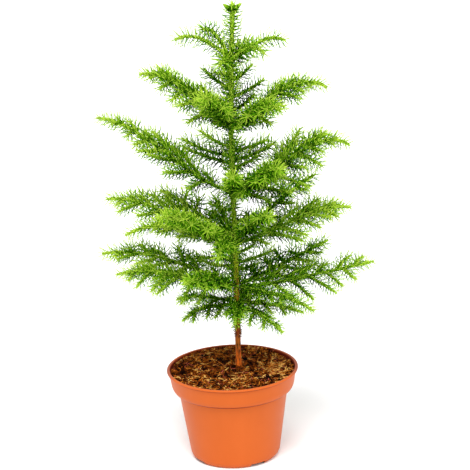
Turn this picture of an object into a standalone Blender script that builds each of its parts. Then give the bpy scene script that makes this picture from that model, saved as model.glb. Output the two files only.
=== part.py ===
"""A young Norfolk Island pine, about 60 cm high, in a 17 cm plastic nursery pot.

The pot, the potting mix, the trunk, each bough and each mass of foliage is an object of
its own.  Boughs stand round the trunk in six whorls, counted from the ground up.  A bough
is a short tapering limb, and the foliage carries on from its tip: one stem with side twigs
in two ranks, each a slim core that broad needles stand out of.

Metres, +Z up, origin at the middle of the pot's flat underside.
"""
from collections import namedtuple
from math import cos, pi, radians, sin, tan
from random import Random

import bmesh
import bpy
from mathutils import Vector
from mathutils.bvhtree import BVHTree

MM = 0.001
GAP = 0.3 * MM
UP = Vector((0.0, 0.0, 1.0))

# Pot
POT_HEIGHT = 119 * MM
RIM_RADIUS = 85 * MM
LIP_HEIGHT = 3.4 * MM
LIP_REACH = 2.6 * MM
BAND_FOOT = 91.8 * MM
BAND_FOOT_RADIUS = 78.2 * MM
BODY_TOP_RADIUS = 70.3 * MM
BODY_FOOT_RADIUS = 57.8 * MM
FOOT_RADIUS = 53.5 * MM
FOOT_ROUND = 6.5 * MM
WALL = 1.8 * MM
FLOOR_THICKNESS = 2.5 * MM
CHANNEL_INNER = 30 * MM
CHANNEL_OUTER = 45 * MM
CHANNEL_HEIGHT = 4.2 * MM
POT_SIDES = 36
SLOTS = 4
SLOT_WIDTH = 20 * MM
FIRST_SLOT = radians(31)
DRAIN_HOLES = 8
DRAIN_HOLE_RADIUS = 4 * MM

# Potting mix: a little higher at the back
SOIL_TOP = 115 * MM
SOIL_EDGE = 3.5 * MM
SOIL_SLOPE = 0.025
SOIL_BUMP = 1.5 * MM
SOIL_RINGS = (0.78, 0.52, 0.26)
LEVEL_PATCH = 14 * MM
SOIL_SIDES = 24

# Trunk: its foot stands a little right of and behind the middle of the pot
TRUNK_FOOT = Vector((8.2 * MM, 12 * MM, SOIL_TOP + GAP))
TRUNK_TOP = 540 * MM
TREE_TOP = 594 * MM
LEAN_START = 400 * MM
LEAN = 9 * MM
BOW = 1.5 * MM
BOW_HEIGHT = 120 * MM
FOOT_GIRTH = 3.7 * MM
FLARE = 1.1 * MM
FLARE_HEIGHT = 14 * MM
TOP_GIRTH = 1.5 * MM
TRUNK_STEPS = 12

# Boughs and foliage
LIMB_SHARE = 0.26
LIMB_FROM_REACH = 130 * MM
LIMB_GIRTH = 1.5 * MM
LIMB_STEPS = 3
END_SLACK = 0.1 * MM
WHORL_STEP = 3 * MM
STEM_GIRTH = 1.1 * MM
STEM_TIP_GIRTH = 0.35 * MM
TWIG_GIRTH = 0.9 * MM
TWIG_TIP_GIRTH = 0.3 * MM
STEM_SEGMENT = 15 * MM
TWIG_OPENING = radians(55)
BACK_OPENING = radians(20)
TWIG_FORWARD = 0.18
FAN_TILT = 0.12
TWIG_SPACING = 24 * MM
FIRST_TWIG = 0.05
LAST_TWIG = 0.84
TWIG_STEPS = 3
NEEDLE_LENGTH = 8.5 * MM
NEEDLE_RAKE = 6 * MM
RAKE_SHARE = 0.75
TIP_NEEDLES = 0.6
SHORTEST_NEEDLE = 2 * MM
SMALLEST_TWIG = 10 * MM
LEADER_STEPS = 6
BUD_TURNS = (3, 177, 265)
BUD_SPREAD = 7 * MM
BUD_RISE = 8.5 * MM
BUD_FOOT = TREE_TOP - 11 * MM
SPACE_MARGIN = 1.5 * MM
CLEARANCE = 0.4 * MM
SEED = 7

Bough = namedtuple("Bough", "compass reach rise start end spread sag bare tilt tapering")
Whorl = namedtuple("Whorl", "height boughs")


def bough(compass, reach, rise, start, end, spread, sag=0.1, bare=0.15, tilt=FAN_TILT, tapering=0.3):
    """Compass degrees (0 right, 90 back), reach and rise in mm, slopes at both ends in degrees,
    side twigs' length and sag as shares, the share of the bough that bears no side twig, how much
    the side twigs rise towards the back and sink towards the front, and the share of the bough
    over which they shorten to its tip."""
    start, end = radians(start), radians(end)
    return Bough(radians(compass), reach * MM, rise * MM, start, end, spread, sag, bare, tilt, tapering)


WHORLS = (
    Whorl(202 * MM, (
        bough(75, 75, -5, 0, -15, 0.30),
        bough(165, 80, -1, 5, -25, 0.22, 0.2),
        bough(205, 77, -8, 5, -35, 0.34, 0.4),
        bough(267, 80, -2, 2, -30, 0.25, 0.3),
        bough(309, 88, -16, -2, -25, 0.28, 0.3),
        bough(350, 85, -13, 0, -20, 0.25, 0.2),
    )),
    Whorl(225 * MM, (
        bough(4, 177, 23, 1, 9, 0.28, 0.25, tilt=0.4, tapering=0.18),
        bough(44, 172, 17, 2, 6, 0.28),
        bough(92, 148, 12, 5, 5, 0.55, 0.0, 0.38),
        bough(162, 181, 31, 18, -14, 0.32, 0.15),
        bough(192, 154, 34, 13, -10, 0.38, 0.4),
        bough(241, 130, 42, 20, -4, 0.28, 0.3),
        bough(316, 131, -6, 0, -20, 0.12, 0.4),
    )),
    Whorl(284 * MM, (
        bough(0, 148, 42, 8, -10, 0.46, 0.2),
        bough(40, 142, 58, 25, 12, 0.24),
        bough(101, 120, 26, 15, 5, 0.28, 0.0),
        bough(134, 135, 43, 18, 5, 0.28, 0.0),
        bough(172, 162, 59, 15, -8, 0.42, 0.2),
        bough(200, 144, 29, 12, -25, 0.16),
        bough(229, 140, 69, 22, 0, 0.28),
        bough(258, 106, 10, 5, -22, 0.14),
        bough(295, 104, 60, 35, 5, 0.26),
    )),
    Whorl(349 * MM, (
        bough(0, 148, 59, 2, -35, 0.48, 0.2, 0.1, 0.3, 0.5),
        bough(46, 130, 54, 2, 44, 0.14, 0.05, 0.6),
        bough(88, 128, 36, 15, 5, 0.80, 0.05, 0.44, tapering=0.15),
        bough(178, 166, 102, 15, 5, 0.36, 0.15, tilt=0.3, tapering=0.5),
        bough(270, 90, 48, 30, 20, 0.18),
        bough(304, 104, 52, 22, 5, 0.36, 0.5),
    )),
    Whorl(432 * MM, (
        bough(0, 121, 52, 35, -32, 0.38, 0.25, 0.1, 0.2, 0.5),
        bough(88, 95, 60, 34, 10, 0.60, 0.12, 0.22),
        bough(140, 74, 48, 40, 0, 0.30),
        bough(180, 110, 74, 42, -12, 0.52, 0.35, 0.1, 0.2, 0.5),
        bough(247, 80, 62, 46, 18, 0.40, 0.2, 0.1),
        bough(308, 99, 42, 30, -12, 0.26, 0.3, 0.1),
    )),
    Whorl(521 * MM, (
        bough(8, 68, 22, 35, -28, 0),
        bough(60, 55, 6, 20, -20, 0),
        bough(122, 66, 30, 48, -20, 0),
        bough(188, 69, 29, 42, -28, 0),
        bough(250, 44, 4, 18, -30, 0),
        bough(312, 60, 15, 30, -35, 0),
    )),
)


def clear_scene():
    """Start from nothing, whatever file the script is run in."""
    for old in list(bpy.data.objects):
        bpy.data.objects.remove(old, do_unlink=True)


def new_collection(name):
    """A collection linked to the scene."""
    collection = bpy.data.collections.new(name)
    bpy.context.scene.collection.children.link(collection)
    return collection


clear_scene()
TREE = new_collection("potted_norfolk_island_pine")
CUTTERS = new_collection("cutters")
SPRAYS = new_collection("sprays")


# Materials
def material(name, colour, roughness):
    """A Principled material of one colour."""
    made = bpy.data.materials.new(name)
    made.use_nodes = True
    shader = made.node_tree.nodes["Principled BSDF"]
    shader.inputs["Base Color"].default_value = (*colour, 1.0)
    shader.inputs["Roughness"].default_value = roughness
    shader.inputs["Metallic"].default_value = 0.0
    return made


TERRACOTTA = material("terracotta_plastic", (0.89, 0.19, 0.032), 0.45)
MIX = material("potting_mix", (0.075, 0.035, 0.014), 0.95)
BARK = material("trunk_bark", (0.24, 0.12, 0.035), 0.85)
TWIG_BARK = material("bough_bark", (0.10, 0.16, 0.02), 0.8)
NEEDLES = material("needle_foliage", (0.10, 0.30, 0.012), 0.6)


# Shared modelling steps
def place(mesh, name, finish, collection=TREE):
    """An object for a finished mesh."""
    made = bpy.data.objects.new(name, mesh)
    mesh.materials.clear()
    mesh.materials.append(finish)
    collection.objects.link(made)
    return made


def evaluated_copy(source):
    """A mesh of an object as the viewport shows it, its loose caps welded."""
    graph = bpy.context.evaluated_depsgraph_get()
    mesh = bpy.data.meshes.new_from_object(source.evaluated_get(graph))
    work = bmesh.new()
    work.from_mesh(mesh)
    bmesh.ops.remove_doubles(work, verts=work.verts, dist=0.001 * MM)
    bmesh.ops.recalc_face_normals(work, faces=work.faces)
    work.to_mesh(mesh)
    work.free()
    return mesh


def cross_section(name, corners):
    """A curve of a few corners on a circle of radius 1, for a limb's section."""
    curve = bpy.data.curves.new(name, "CURVE")
    spline = curve.splines.new("POLY")
    spline.points.add(corners - 1)
    spline.use_cyclic_u = True
    for index, knot in enumerate(spline.points):
        turn = 2 * pi * index / corners
        knot.co = (cos(turn), sin(turn), 0.0, 1.0)
    made = bpy.data.objects.new(name, curve)
    made.hide_render = True
    made.display_type = "WIRE"
    CUTTERS.objects.link(made)
    return made


SECTIONS = {corners: cross_section(f"section_{corners}", corners) for corners in (3, 4, 6, 8)}


def tube_mesh(points, radii, corners):
    """A limb along some points, thick as its radii say, with closed ends."""
    curve = bpy.data.curves.new("tube", "CURVE")
    curve.dimensions = "3D"
    curve.twist_mode = "Z_UP"
    curve.bevel_mode = "OBJECT"
    curve.bevel_object = SECTIONS[corners]
    curve.use_fill_caps = True
    spline = curve.splines.new("POLY")
    spline.points.add(len(points) - 1)
    for knot, point, radius in zip(spline.points, points, radii):
        knot.co = (*point, 1.0)
        knot.radius = radius
    source = bpy.data.objects.new("tube", curve)
    TREE.objects.link(source)
    mesh = evaluated_copy(source)
    bpy.data.objects.remove(source)
    return mesh


def spray_mesh(points, radii, corners, needles):
    """A slim core with a broad needle raised on each side face, as long as its segment's says."""
    mesh = tube_mesh(points, radii, corners)
    work = bmesh.new()
    work.from_mesh(mesh)
    work.faces.ensure_lookup_table()
    middles = [a.lerp(b, 0.5) for a, b in zip(points, points[1:])]
    runs = [b - a for a, b in zip(points, points[1:])]

    def segment(face):
        centre = face.calc_center_median()
        return min(range(len(middles)), key=lambda index: (centre - middles[index]).length)

    sides = []
    for face in work.faces:
        index = segment(face)
        is_cap = abs(face.normal.dot(runs[index].normalized())) > 0.7
        if needles[index] > 0.0 and len(face.verts) == 4 and not is_cap:
            sides.append((face, index))
    for face, index in sides:
        normal = face.normal.copy()
        top = bmesh.ops.poke(work, faces=[face], offset=0.0)["verts"][0]
        rake = min(NEEDLE_RAKE, RAKE_SHARE * needles[index], 0.6 * runs[index].length)
        top.co += normal * needles[index] + runs[index].normalized() * rake
    work.to_mesh(mesh)
    work.free()
    return mesh


# Tree skeleton
def trunk_axis(height):
    """The trunk's centre line, which leans a little above its foot and again near its top."""
    share = max(0.0, (height - LEAN_START) / (TREE_TOP - LEAN_START))
    bow = BOW * min(1.0, (height - TRUNK_FOOT.z) / BOW_HEIGHT)
    return Vector((TRUNK_FOOT.x + bow + LEAN * share ** 1.5, TRUNK_FOOT.y, height))


def trunk_radius(height):
    """True taper, with a flare at the foot."""
    share = (height - TRUNK_FOOT.z) / (TREE_TOP - TRUNK_FOOT.z)
    above_foot = min(1.0, (height - TRUNK_FOOT.z) / FLARE_HEIGHT)
    taper = FOOT_GIRTH + (TOP_GIRTH - FOOT_GIRTH) * share ** 1.3
    return taper + FLARE * (1.0 - above_foot) ** 2


def whorl_height(whorl, index):
    """Neighbouring boughs leave the trunk a little above and below each other."""
    count = len(whorl.boughs)
    if count % 2 and index == count - 1:
        return whorl.height
    return whorl.height + WHORL_STEP * (0.5 if index % 2 else -0.5)


def bough_point(height, limb, share):
    """A point on a bough's centre line, from the trunk's axis to the bough's tip."""
    level = limb.reach * share
    lift = limb.rise * (3 * share ** 2 - 2 * share ** 3)
    lift += limb.reach * tan(limb.start) * (share - 2 * share ** 2 + share ** 3)
    lift += limb.reach * tan(limb.end) * (share ** 3 - share ** 2)
    return trunk_axis(height) + Vector((cos(limb.compass) * level, sin(limb.compass) * level, lift))


def bough_direction(height, limb, share):
    """Which way a bough points at a share of its length."""
    step = 0.02
    ahead = bough_point(height, limb, min(1.0, share + step))
    return (ahead - bough_point(height, limb, share - step)).normalized()


def limb_start(height, limb):
    """Share of the bough where its end face, tilted by its slope, clears the trunk."""
    half = LIMB_GIRTH if limb.reach >= LIMB_FROM_REACH else STEM_GIRTH * cos(pi / 4)
    clear = trunk_radius(height) + GAP + END_SLACK + half * abs(sin(limb.start))
    return clear / limb.reach


def stem_shares(height, limb):
    """Where along the bough the knots of its foliage's stem lie."""
    first = limb_start(height, limb)
    if limb.reach >= LIMB_FROM_REACH:
        first = LIMB_SHARE + GAP / limb.reach
    steps = max(4, round((1.0 - first) * limb.reach / STEM_SEGMENT))
    return [first + (1.0 - first) * step / steps for step in range(steps + 1)]


def stem_point(height, limb, share):
    """A point on the straight stretches between the stem's knots."""
    shares = stem_shares(height, limb)
    for before, after in zip(shares, shares[1:]):
        if share <= after:
            break
    along = (share - before) / (after - before)
    return bough_point(height, limb, before).lerp(bough_point(height, limb, after), along)


def twig_length(limb, share):
    """Side twigs are longest a third of the way out and short at the tip."""
    near_trunk = min(1.0, 0.5 + (share - limb.bare) / 0.25)
    near_tip = min(1.0, (1.0 - share) / limb.tapering)
    return limb.spread * limb.reach * near_trunk * near_tip * (1.10 - 0.75 * share)


def twig_path(height, limb, share, side, length):
    """Points of a side twig, which opens from its stem, bends forward and sags."""
    root = stem_point(height, limb, share)
    ahead = bough_direction(height, limb, share)
    across = UP.cross(ahead).normalized() * side
    opening = TWIG_OPENING + BACK_OPENING * max(0.0, sin(limb.compass))
    path = []
    for step in range(TWIG_STEPS + 1):
        out = step / TWIG_STEPS
        run = length * out
        point = root + across * (run * sin(opening)) + ahead * (run * cos(opening))
        point += ahead * (TWIG_FORWARD * run * out) - UP * (limb.sag * run * out)
        point += UP * (limb.tilt * (point - root).y)
        path.append(point)
    return path


# Clearances between the solids
taken = {}


def tree_of(mesh):
    """A search tree of a mesh."""
    work = bmesh.new()
    work.from_mesh(mesh)
    found = BVHTree.FromBMesh(work)
    work.free()
    return found


def is_clear(mesh, own):
    """Whether a piece touches none of the solids of other nodes."""
    candidate = tree_of(mesh)
    for owner, solids in taken.items():
        if owner != own and any(candidate.overlap(solid) for solid in solids):
            return False
    return True


def keep_space(own, mesh):
    """Record what a node fills."""
    taken.setdefault(own, []).append(tree_of(mesh))


# Sprays
def inside_space(path, height, limb, halves):
    """Whether a twig stays in its mass's wedge between the neighbouring boughs."""
    tip = path[-1] - trunk_axis(height)
    along = Vector((cos(limb.compass), sin(limb.compass), 0.0))
    across = Vector((-along.y, along.x, 0.0))
    sideways = tip.dot(across)
    allowed = tan(min(radians(80), halves[0] if sideways > 0 else halves[1])) * tip.dot(along)
    return abs(sideways) < allowed - SPACE_MARGIN


def add_spray(own, path):
    """Add a side twig's spray, bare at its root, unless it would touch another solid."""
    steps = len(path) - 1
    radii = [TWIG_GIRTH + (TWIG_TIP_GIRTH - TWIG_GIRTH) * step / steps for step in range(steps + 1)]
    needles = [NEEDLE_LENGTH] * (steps - 1) + [NEEDLE_LENGTH * TIP_NEEDLES]
    grown = spray_mesh(path, [radius + CLEARANCE for radius in radii], 3,
                       [0.0] + [needle + CLEARANCE for needle in needles[1:]])
    if is_clear(grown, own):
        mesh = spray_mesh(path, radii, 3, [0.0] + needles[1:])
        keep_space(own, mesh)
        place(mesh, own + "_spray", NEEDLES, SPRAYS)
    bpy.data.meshes.remove(grown)


def fuse_sprays(mass):
    """Join a mass's sprays to its stem with one Boolean union."""
    union = mass.modifiers.new("sprays", "BOOLEAN")
    union.operation = "UNION"
    union.operand_type = "COLLECTION"
    union.collection = SPRAYS
    union.solver = "EXACT"
    graph = bpy.context.evaluated_depsgraph_get()
    joined = bpy.data.meshes.new_from_object(mass.evaluated_get(graph))
    mass.modifiers.clear()
    mass.data = joined
    joined.materials.clear()
    joined.materials.append(NEEDLES)
    for piece in list(SPRAYS.objects):
        bpy.data.objects.remove(piece, do_unlink=True)


# Pot and potting mix
def turned(name, profile, sides, finish, collection=TREE):
    """A closed solid turned about the pot's axis from a profile of (radius, height) points."""
    mesh = bpy.data.meshes.new(name)
    mesh.from_pydata([(r, 0.0, z) for r, z in profile], [(i, i + 1) for i in range(len(profile) - 1)], [])
    made = place(mesh, name, finish, collection)
    screw = made.modifiers.new("turn", "SCREW")
    screw.steps = sides
    screw.render_steps = sides
    screw.use_merge_vertices = True
    screw.merge_threshold = 0.0001
    return made


def band_radius(height):
    """Outer radius of the band between its foot and the lip."""
    top = POT_HEIGHT - LIP_HEIGHT
    share = (height - BAND_FOOT) / (top - BAND_FOOT)
    return BAND_FOOT_RADIUS + (RIM_RADIUS - LIP_REACH - BAND_FOOT_RADIUS) * share


def inner_wall():
    """The pot's inner profile from its floor to the lip, as (radius, height) points."""
    floor = CHANNEL_HEIGHT + FLOOR_THICKNESS
    lip_foot = POT_HEIGHT - LIP_HEIGHT
    return [
        (BODY_FOOT_RADIUS - WALL - 1 * MM, floor),
        (BODY_TOP_RADIUS - WALL, BAND_FOOT - 2.4 * MM),
        (BAND_FOOT_RADIUS - WALL - 1.5 * MM, BAND_FOOT + 2.5 * MM),
        (band_radius(lip_foot) - WALL, lip_foot),
    ]


def inner_radius(height):
    """Radius of the inner wall at a height."""
    wall = inner_wall()
    for (low_radius, low), (high_radius, high) in zip(wall, wall[1:]):
        if height <= high:
            break
    return low_radius + (high_radius - low_radius) * (height - low) / (high - low)


def cut_away(solid, cutter):
    """Take a cutter's shape out of a solid."""
    for home in list(cutter.users_collection):
        home.objects.unlink(cutter)
    CUTTERS.objects.link(cutter)
    cutter.hide_render = True
    cutter.display_type = "WIRE"
    cut = solid.modifiers.new(cutter.name, "BOOLEAN")
    cut.operation = "DIFFERENCE"
    cut.object = cutter
    cut.solver = "EXACT"


def build_pot():
    """A thin-walled pot with a rolled lip, a deep band, and slots and holes to drain its foot."""
    lip_foot = POT_HEIGHT - LIP_HEIGHT
    shoulder = BAND_FOOT + 4 * MM
    floor = CHANNEL_HEIGHT + FLOOR_THICKNESS
    outer = [
        (RIM_RADIUS - 0.8 * MM, POT_HEIGHT),
        (RIM_RADIUS, POT_HEIGHT - 0.9 * MM),
        (RIM_RADIUS, lip_foot + 0.9 * MM),
        (band_radius(lip_foot) + 0.5 * MM, lip_foot),
        (band_radius(shoulder), shoulder),
        (BAND_FOOT_RADIUS - 1.8 * MM, BAND_FOOT + 1.0 * MM),
        (BAND_FOOT_RADIUS - 4.5 * MM, BAND_FOOT - 0.6 * MM),
        (BODY_TOP_RADIUS, BAND_FOOT - 1.2 * MM),
        (BODY_FOOT_RADIUS, FOOT_ROUND),
        (BODY_FOOT_RADIUS - 0.29 * (BODY_FOOT_RADIUS - FOOT_RADIUS), 0.29 * FOOT_ROUND),
        (FOOT_RADIUS, 0.0),
    ]
    under = [
        (CHANNEL_OUTER, 0.0),
        (CHANNEL_OUTER - 1 * MM, CHANNEL_HEIGHT),
        (CHANNEL_INNER + 1 * MM, CHANNEL_HEIGHT),
        (CHANNEL_INNER, 0.0),
        (0.0, 0.0),
    ]
    inner = [(0.0, floor)] + inner_wall() + [(RIM_RADIUS - LIP_REACH - WALL + 0.6 * MM, POT_HEIGHT)]
    profile = outer + under + inner
    pot = turned("pot", profile + [profile[0]], POT_SIDES, TERRACOTTA)
    length = BODY_FOOT_RADIUS - CHANNEL_OUTER + 8 * MM
    for index in range(SLOTS):
        angle = FIRST_SLOT + 2 * pi * index / SLOTS
        bpy.ops.mesh.primitive_cube_add(size=1.0)
        slot = bpy.context.object
        slot.name = f"drain_slot_{index}"
        slot.scale = (length, SLOT_WIDTH, 2 * CHANNEL_HEIGHT)
        middle = CHANNEL_OUTER - 4 * MM + length / 2
        slot.location = (cos(angle) * middle, sin(angle) * middle, 0.0)
        slot.rotation_euler = (0.0, 0.0, angle)
        cut_away(pot, slot)
    ring = (CHANNEL_INNER + CHANNEL_OUTER) / 2
    for index in range(DRAIN_HOLES):
        angle = FIRST_SLOT + 2 * pi * index / DRAIN_HOLES
        bpy.ops.mesh.primitive_cylinder_add(vertices=8, radius=DRAIN_HOLE_RADIUS, depth=4 * FLOOR_THICKNESS)
        hole = bpy.context.object
        hole.name = f"drain_hole_{index}"
        hole.location = (cos(angle) * ring, sin(angle) * ring, floor - FLOOR_THICKNESS / 2)
        cut_away(pot, hole)
    return pot


def soil_bump(x, y):
    """Uneven top of the potting mix, level where the trunk stands."""
    from_foot = (Vector((x, y)) - TRUNK_FOOT.xy).length
    fade = min(1.0, max(0.0, from_foot / LEVEL_PATCH - 1.0))
    wave = sin(x * 95 + 0.6) * cos(y * 80 - 0.4) + 0.6 * sin(x * 210 - y * 160)
    return (SOIL_BUMP * wave + SOIL_SLOPE * (y - TRUNK_FOOT.y)) * fade


def build_soil():
    """Potting mix that fills the pot to a little under its rim."""
    floor = CHANNEL_HEIGHT + FLOOR_THICKNESS + GAP
    edge = SOIL_TOP - SOIL_EDGE
    side_heights = [edge] + [height for radius, height in reversed(inner_wall()[1:3])] + [floor]
    profile = [(0.0, SOIL_TOP)]
    profile += [(inner_radius(edge) * share, SOIL_TOP) for share in reversed(SOIL_RINGS)]
    profile += [(inner_radius(height) - 2 * GAP, height) for height in side_heights]
    profile.append((0.0, floor))
    source = turned("soil_turned", profile, SOIL_SIDES, MIX)
    mesh = evaluated_copy(source)
    bpy.data.objects.remove(source)
    for vertex in mesh.vertices:
        if vertex.co.z > SOIL_TOP - GAP:
            vertex.co.z += soil_bump(vertex.co.x, vertex.co.y)
    return place(mesh, "soil", MIX)


def build_trunk():
    """The trunk, whole from its flat cut on the potting mix to the foot of the leading shoot."""
    heights = [TRUNK_FOOT.z, TRUNK_FOOT.z + 0.35 * FLARE_HEIGHT, TRUNK_FOOT.z + FLARE_HEIGHT]
    rest = TRUNK_TOP - heights[-1]
    heights += [heights[2] + rest * (step + 1) / TRUNK_STEPS for step in range(TRUNK_STEPS)]
    mesh = tube_mesh([trunk_axis(z) for z in heights], [trunk_radius(z) for z in heights], 8)
    for vertex in mesh.vertices:
        if vertex.co.z < TRUNK_FOOT.z + GAP:
            vertex.co.z = TRUNK_FOOT.z
    keep_space("trunk", mesh)
    return place(mesh, "trunk", BARK)


# Boughs and their foliage
def letter(index):
    """a, b, c and so on."""
    return "abcdefghij"[index]


def build_limb(name, height, limb):
    """The tapering inner part of a bough, which ends where its foliage starts."""
    first = limb_start(height, limb)
    knots = range(LIMB_STEPS + 1)
    shares = [first + (LIMB_SHARE - first) * knot / LIMB_STEPS for knot in knots]
    radii = [LIMB_GIRTH + (STEM_GIRTH - LIMB_GIRTH) * knot / LIMB_STEPS for knot in knots]
    mesh = tube_mesh([bough_point(height, limb, share) for share in shares], radii, 6)
    keep_space(name, mesh)
    return place(mesh, name, TWIG_BARK)


def build_stem(name, height, limb, halves):
    """The stem that a mass of foliage grows on, with needles that keep to the bough's wedge."""
    shares = stem_shares(height, limb)
    steps = len(shares) - 1
    radii = [STEM_GIRTH + (STEM_TIP_GIRTH - STEM_GIRTH) * step / steps for step in range(steps + 1)]
    room = [limb.reach * share * tan(min(halves)) - SPACE_MARGIN for share in shares[:-1]]
    needles = [min(NEEDLE_LENGTH, here) if here > SHORTEST_NEEDLE else 0.0 for here in room]
    needles[-1] *= TIP_NEEDLES
    mesh = spray_mesh([bough_point(height, limb, share) for share in shares], radii, 4, needles)
    keep_space(name, mesh)
    return place(mesh, name, NEEDLES)


def neighbours(whorl, index):
    """Half of the turn to the next bough on either side."""
    count = len(whorl.boughs)
    here = whorl.boughs[index].compass
    after = (whorl.boughs[(index + 1) % count].compass - here) % (2 * pi)
    before = (here - whorl.boughs[index - 1].compass) % (2 * pi)
    return after / 2, before / 2


def dress_stem(mass, whorl, index, chance):
    """Fuse side twigs to a stem in two ranks."""
    limb = whorl.boughs[index]
    height = whorl_height(whorl, index)
    if limb.spread == 0:
        return
    start = max(limb.bare, stem_shares(height, limb)[0] + FIRST_TWIG)
    pairs = max(2, round((LAST_TWIG - start) * limb.reach / TWIG_SPACING))
    halves = neighbours(whorl, index)
    for pair in range(pairs):
        for side in (-1, 1):
            share = start + (LAST_TWIG - start) * (pair + 0.25 * (side + 1)) / pairs
            length = twig_length(limb, share) * chance.uniform(0.9, 1.08)
            path = twig_path(height, limb, share, side, length)
            while length > SMALLEST_TWIG and not inside_space(path, height, limb, halves):
                length *= 0.9
                path = twig_path(height, limb, share, side, length)
            if length > SMALLEST_TWIG:
                add_spray(mass.name, path)
    fuse_sprays(mass)


def build_leader():
    """The leading shoot on the trunk's tip, with its needles and a ring of buds at the top."""
    foot = TRUNK_TOP + GAP
    knots = range(LEADER_STEPS + 1)
    axis = [trunk_axis(foot + (TREE_TOP - foot) * knot / LEADER_STEPS) for knot in knots]
    radii = [trunk_radius(point.z) for point in axis[:-1]] + [STEM_TIP_GIRTH]
    stem = place(spray_mesh(axis, radii, 4, [NEEDLE_LENGTH] * LEADER_STEPS), "foliage_leader", NEEDLES)
    keep_space(stem.name, stem.data)
    root = trunk_axis(BUD_FOOT)
    for turn in BUD_TURNS:
        angle = radians(turn)
        outward = Vector((cos(angle), sin(angle), 0.0)) * BUD_SPREAD
        tip = root + outward + UP * BUD_RISE
        bend = root + outward * 0.57 + UP * BUD_RISE * 0.47
        add_spray(stem.name, [root, bend, tip])
    fuse_sprays(stem)


def build_tree():
    """Trunk, then all limbs and stems, then the sprays that must keep clear of them."""
    build_trunk()
    stems = []
    for number, whorl in enumerate(WHORLS, start=1):
        for index, limb in enumerate(whorl.boughs):
            mark = f"{number}{letter(index)}"
            height = whorl_height(whorl, index)
            if limb.reach >= LIMB_FROM_REACH:
                build_limb(f"bough_{mark}", height, limb)
            stem = build_stem(f"foliage_{mark}", height, limb, neighbours(whorl, index))
            stems.append((stem, whorl, index))
    chance = Random(SEED)
    for stem, whorl, index in stems:
        dress_stem(stem, whorl, index, chance)
    build_leader()


build_pot()
build_soil()
build_tree()
for section in SECTIONS.values():
    bpy.data.objects.remove(section)
bpy.data.collections.remove(SPRAYS)
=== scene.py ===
from collections import namedtuple
from math import cos, pi, radians, sin, tan
from random import Random

import bmesh
import bpy
import numpy as np
from mathutils import Matrix, Vector, noise


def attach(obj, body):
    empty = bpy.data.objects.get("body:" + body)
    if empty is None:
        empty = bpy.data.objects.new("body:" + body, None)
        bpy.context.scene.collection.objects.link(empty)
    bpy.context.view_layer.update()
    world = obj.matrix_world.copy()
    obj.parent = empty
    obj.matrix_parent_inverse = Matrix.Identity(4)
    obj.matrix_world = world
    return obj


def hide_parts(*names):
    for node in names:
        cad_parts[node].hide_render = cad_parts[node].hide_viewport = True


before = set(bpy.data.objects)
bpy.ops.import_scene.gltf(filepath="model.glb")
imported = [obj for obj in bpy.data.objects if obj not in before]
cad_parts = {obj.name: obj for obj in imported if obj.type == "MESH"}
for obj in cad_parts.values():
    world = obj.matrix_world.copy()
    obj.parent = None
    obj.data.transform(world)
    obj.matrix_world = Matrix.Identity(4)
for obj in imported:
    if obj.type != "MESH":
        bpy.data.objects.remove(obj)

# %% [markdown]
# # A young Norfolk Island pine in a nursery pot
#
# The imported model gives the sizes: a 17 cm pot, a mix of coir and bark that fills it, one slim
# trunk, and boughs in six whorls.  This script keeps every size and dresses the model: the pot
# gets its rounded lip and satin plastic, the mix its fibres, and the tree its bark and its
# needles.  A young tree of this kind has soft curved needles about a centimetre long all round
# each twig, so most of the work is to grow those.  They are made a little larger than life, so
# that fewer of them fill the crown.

MM = 0.001
UP = Vector((0.0, 0.0, 1.0))
NODES = sorted(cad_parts)
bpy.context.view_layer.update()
print("nodes:", len(NODES))

# %% [markdown]
# ## The camera
#
# The picture was taken from nearly 3 m away, a little above the rim, so the pot's ellipses are
# flat and the boughs hardly spread with distance.  The camera is placed by its eye, the point
# that it aims at, and a small roll, and its lens is worked out from the size of the view.

# %% Camera
EYE = Vector((0.0, -2.61563, 1.11823))
AIM = Vector((0.0101, 0.0, 0.2973))
ROLL = radians(-2.257)
LENS = 165.7


def placed(name, data):
    """A new object in the scene."""
    made = bpy.data.objects.new(name, data)
    bpy.context.scene.collection.objects.link(made)
    return made


camera_data = bpy.data.cameras.new("camera")
camera_data.lens = LENS
camera_data.sensor_width = 36.0
camera = placed("camera", camera_data)
look = (AIM - EYE).to_track_quat("-Z", "Y").to_matrix().to_4x4()
camera.matrix_world = Matrix.Translation(EYE) @ look @ Matrix.Rotation(ROLL, 4, "Z")
bpy.context.scene.camera = camera
print("camera is", round((AIM - EYE).length, 2), "m from its aim")

# %% [markdown]
# ## Floor and light
#
# A white room with no visible corner: a pale floor, an even white sky for soft fill, and two
# broad lamps in front, the stronger one above and to the left.  They are suns, whose light
# does not fall off, so that the floor stays evenly white, and their wide angle keeps the
# shadows soft.

# %% Floor, sky and lamps
def soft_sun(name, compass, height, strength, spread):
    """A distant lamp, by its bearing and height in degrees; its spread softens the shadows."""
    lamp = bpy.data.lights.new(name, "SUN")
    lamp.energy = strength
    lamp.angle = radians(spread)
    made = placed(name, lamp)
    level = Vector((cos(radians(compass)), sin(radians(compass)), 0.0))
    towards = level * cos(radians(height)) + UP * sin(radians(height))
    made.rotation_euler = towards.to_track_quat("Z", "Y").to_euler()


floor_mesh = bpy.data.meshes.new("floor")
floor_shape = bmesh.new()
bmesh.ops.create_grid(floor_shape, x_segments=1, y_segments=1, size=6.0)
floor_shape.to_mesh(floor_mesh)
floor_shape.free()
floor = placed("floor", floor_mesh)
floor_paint = bpy.data.materials.new("floor_white")
floor_paint.use_nodes = True
floor_shader = floor_paint.node_tree.nodes["Principled BSDF"]
floor_shader.inputs["Base Color"].default_value = (0.93, 0.93, 0.93, 1.0)
floor_shader.inputs["Roughness"].default_value = 0.9
floor_shader.inputs["Specular IOR Level"].default_value = 0.0
floor_mesh.materials.append(floor_paint)

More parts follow.
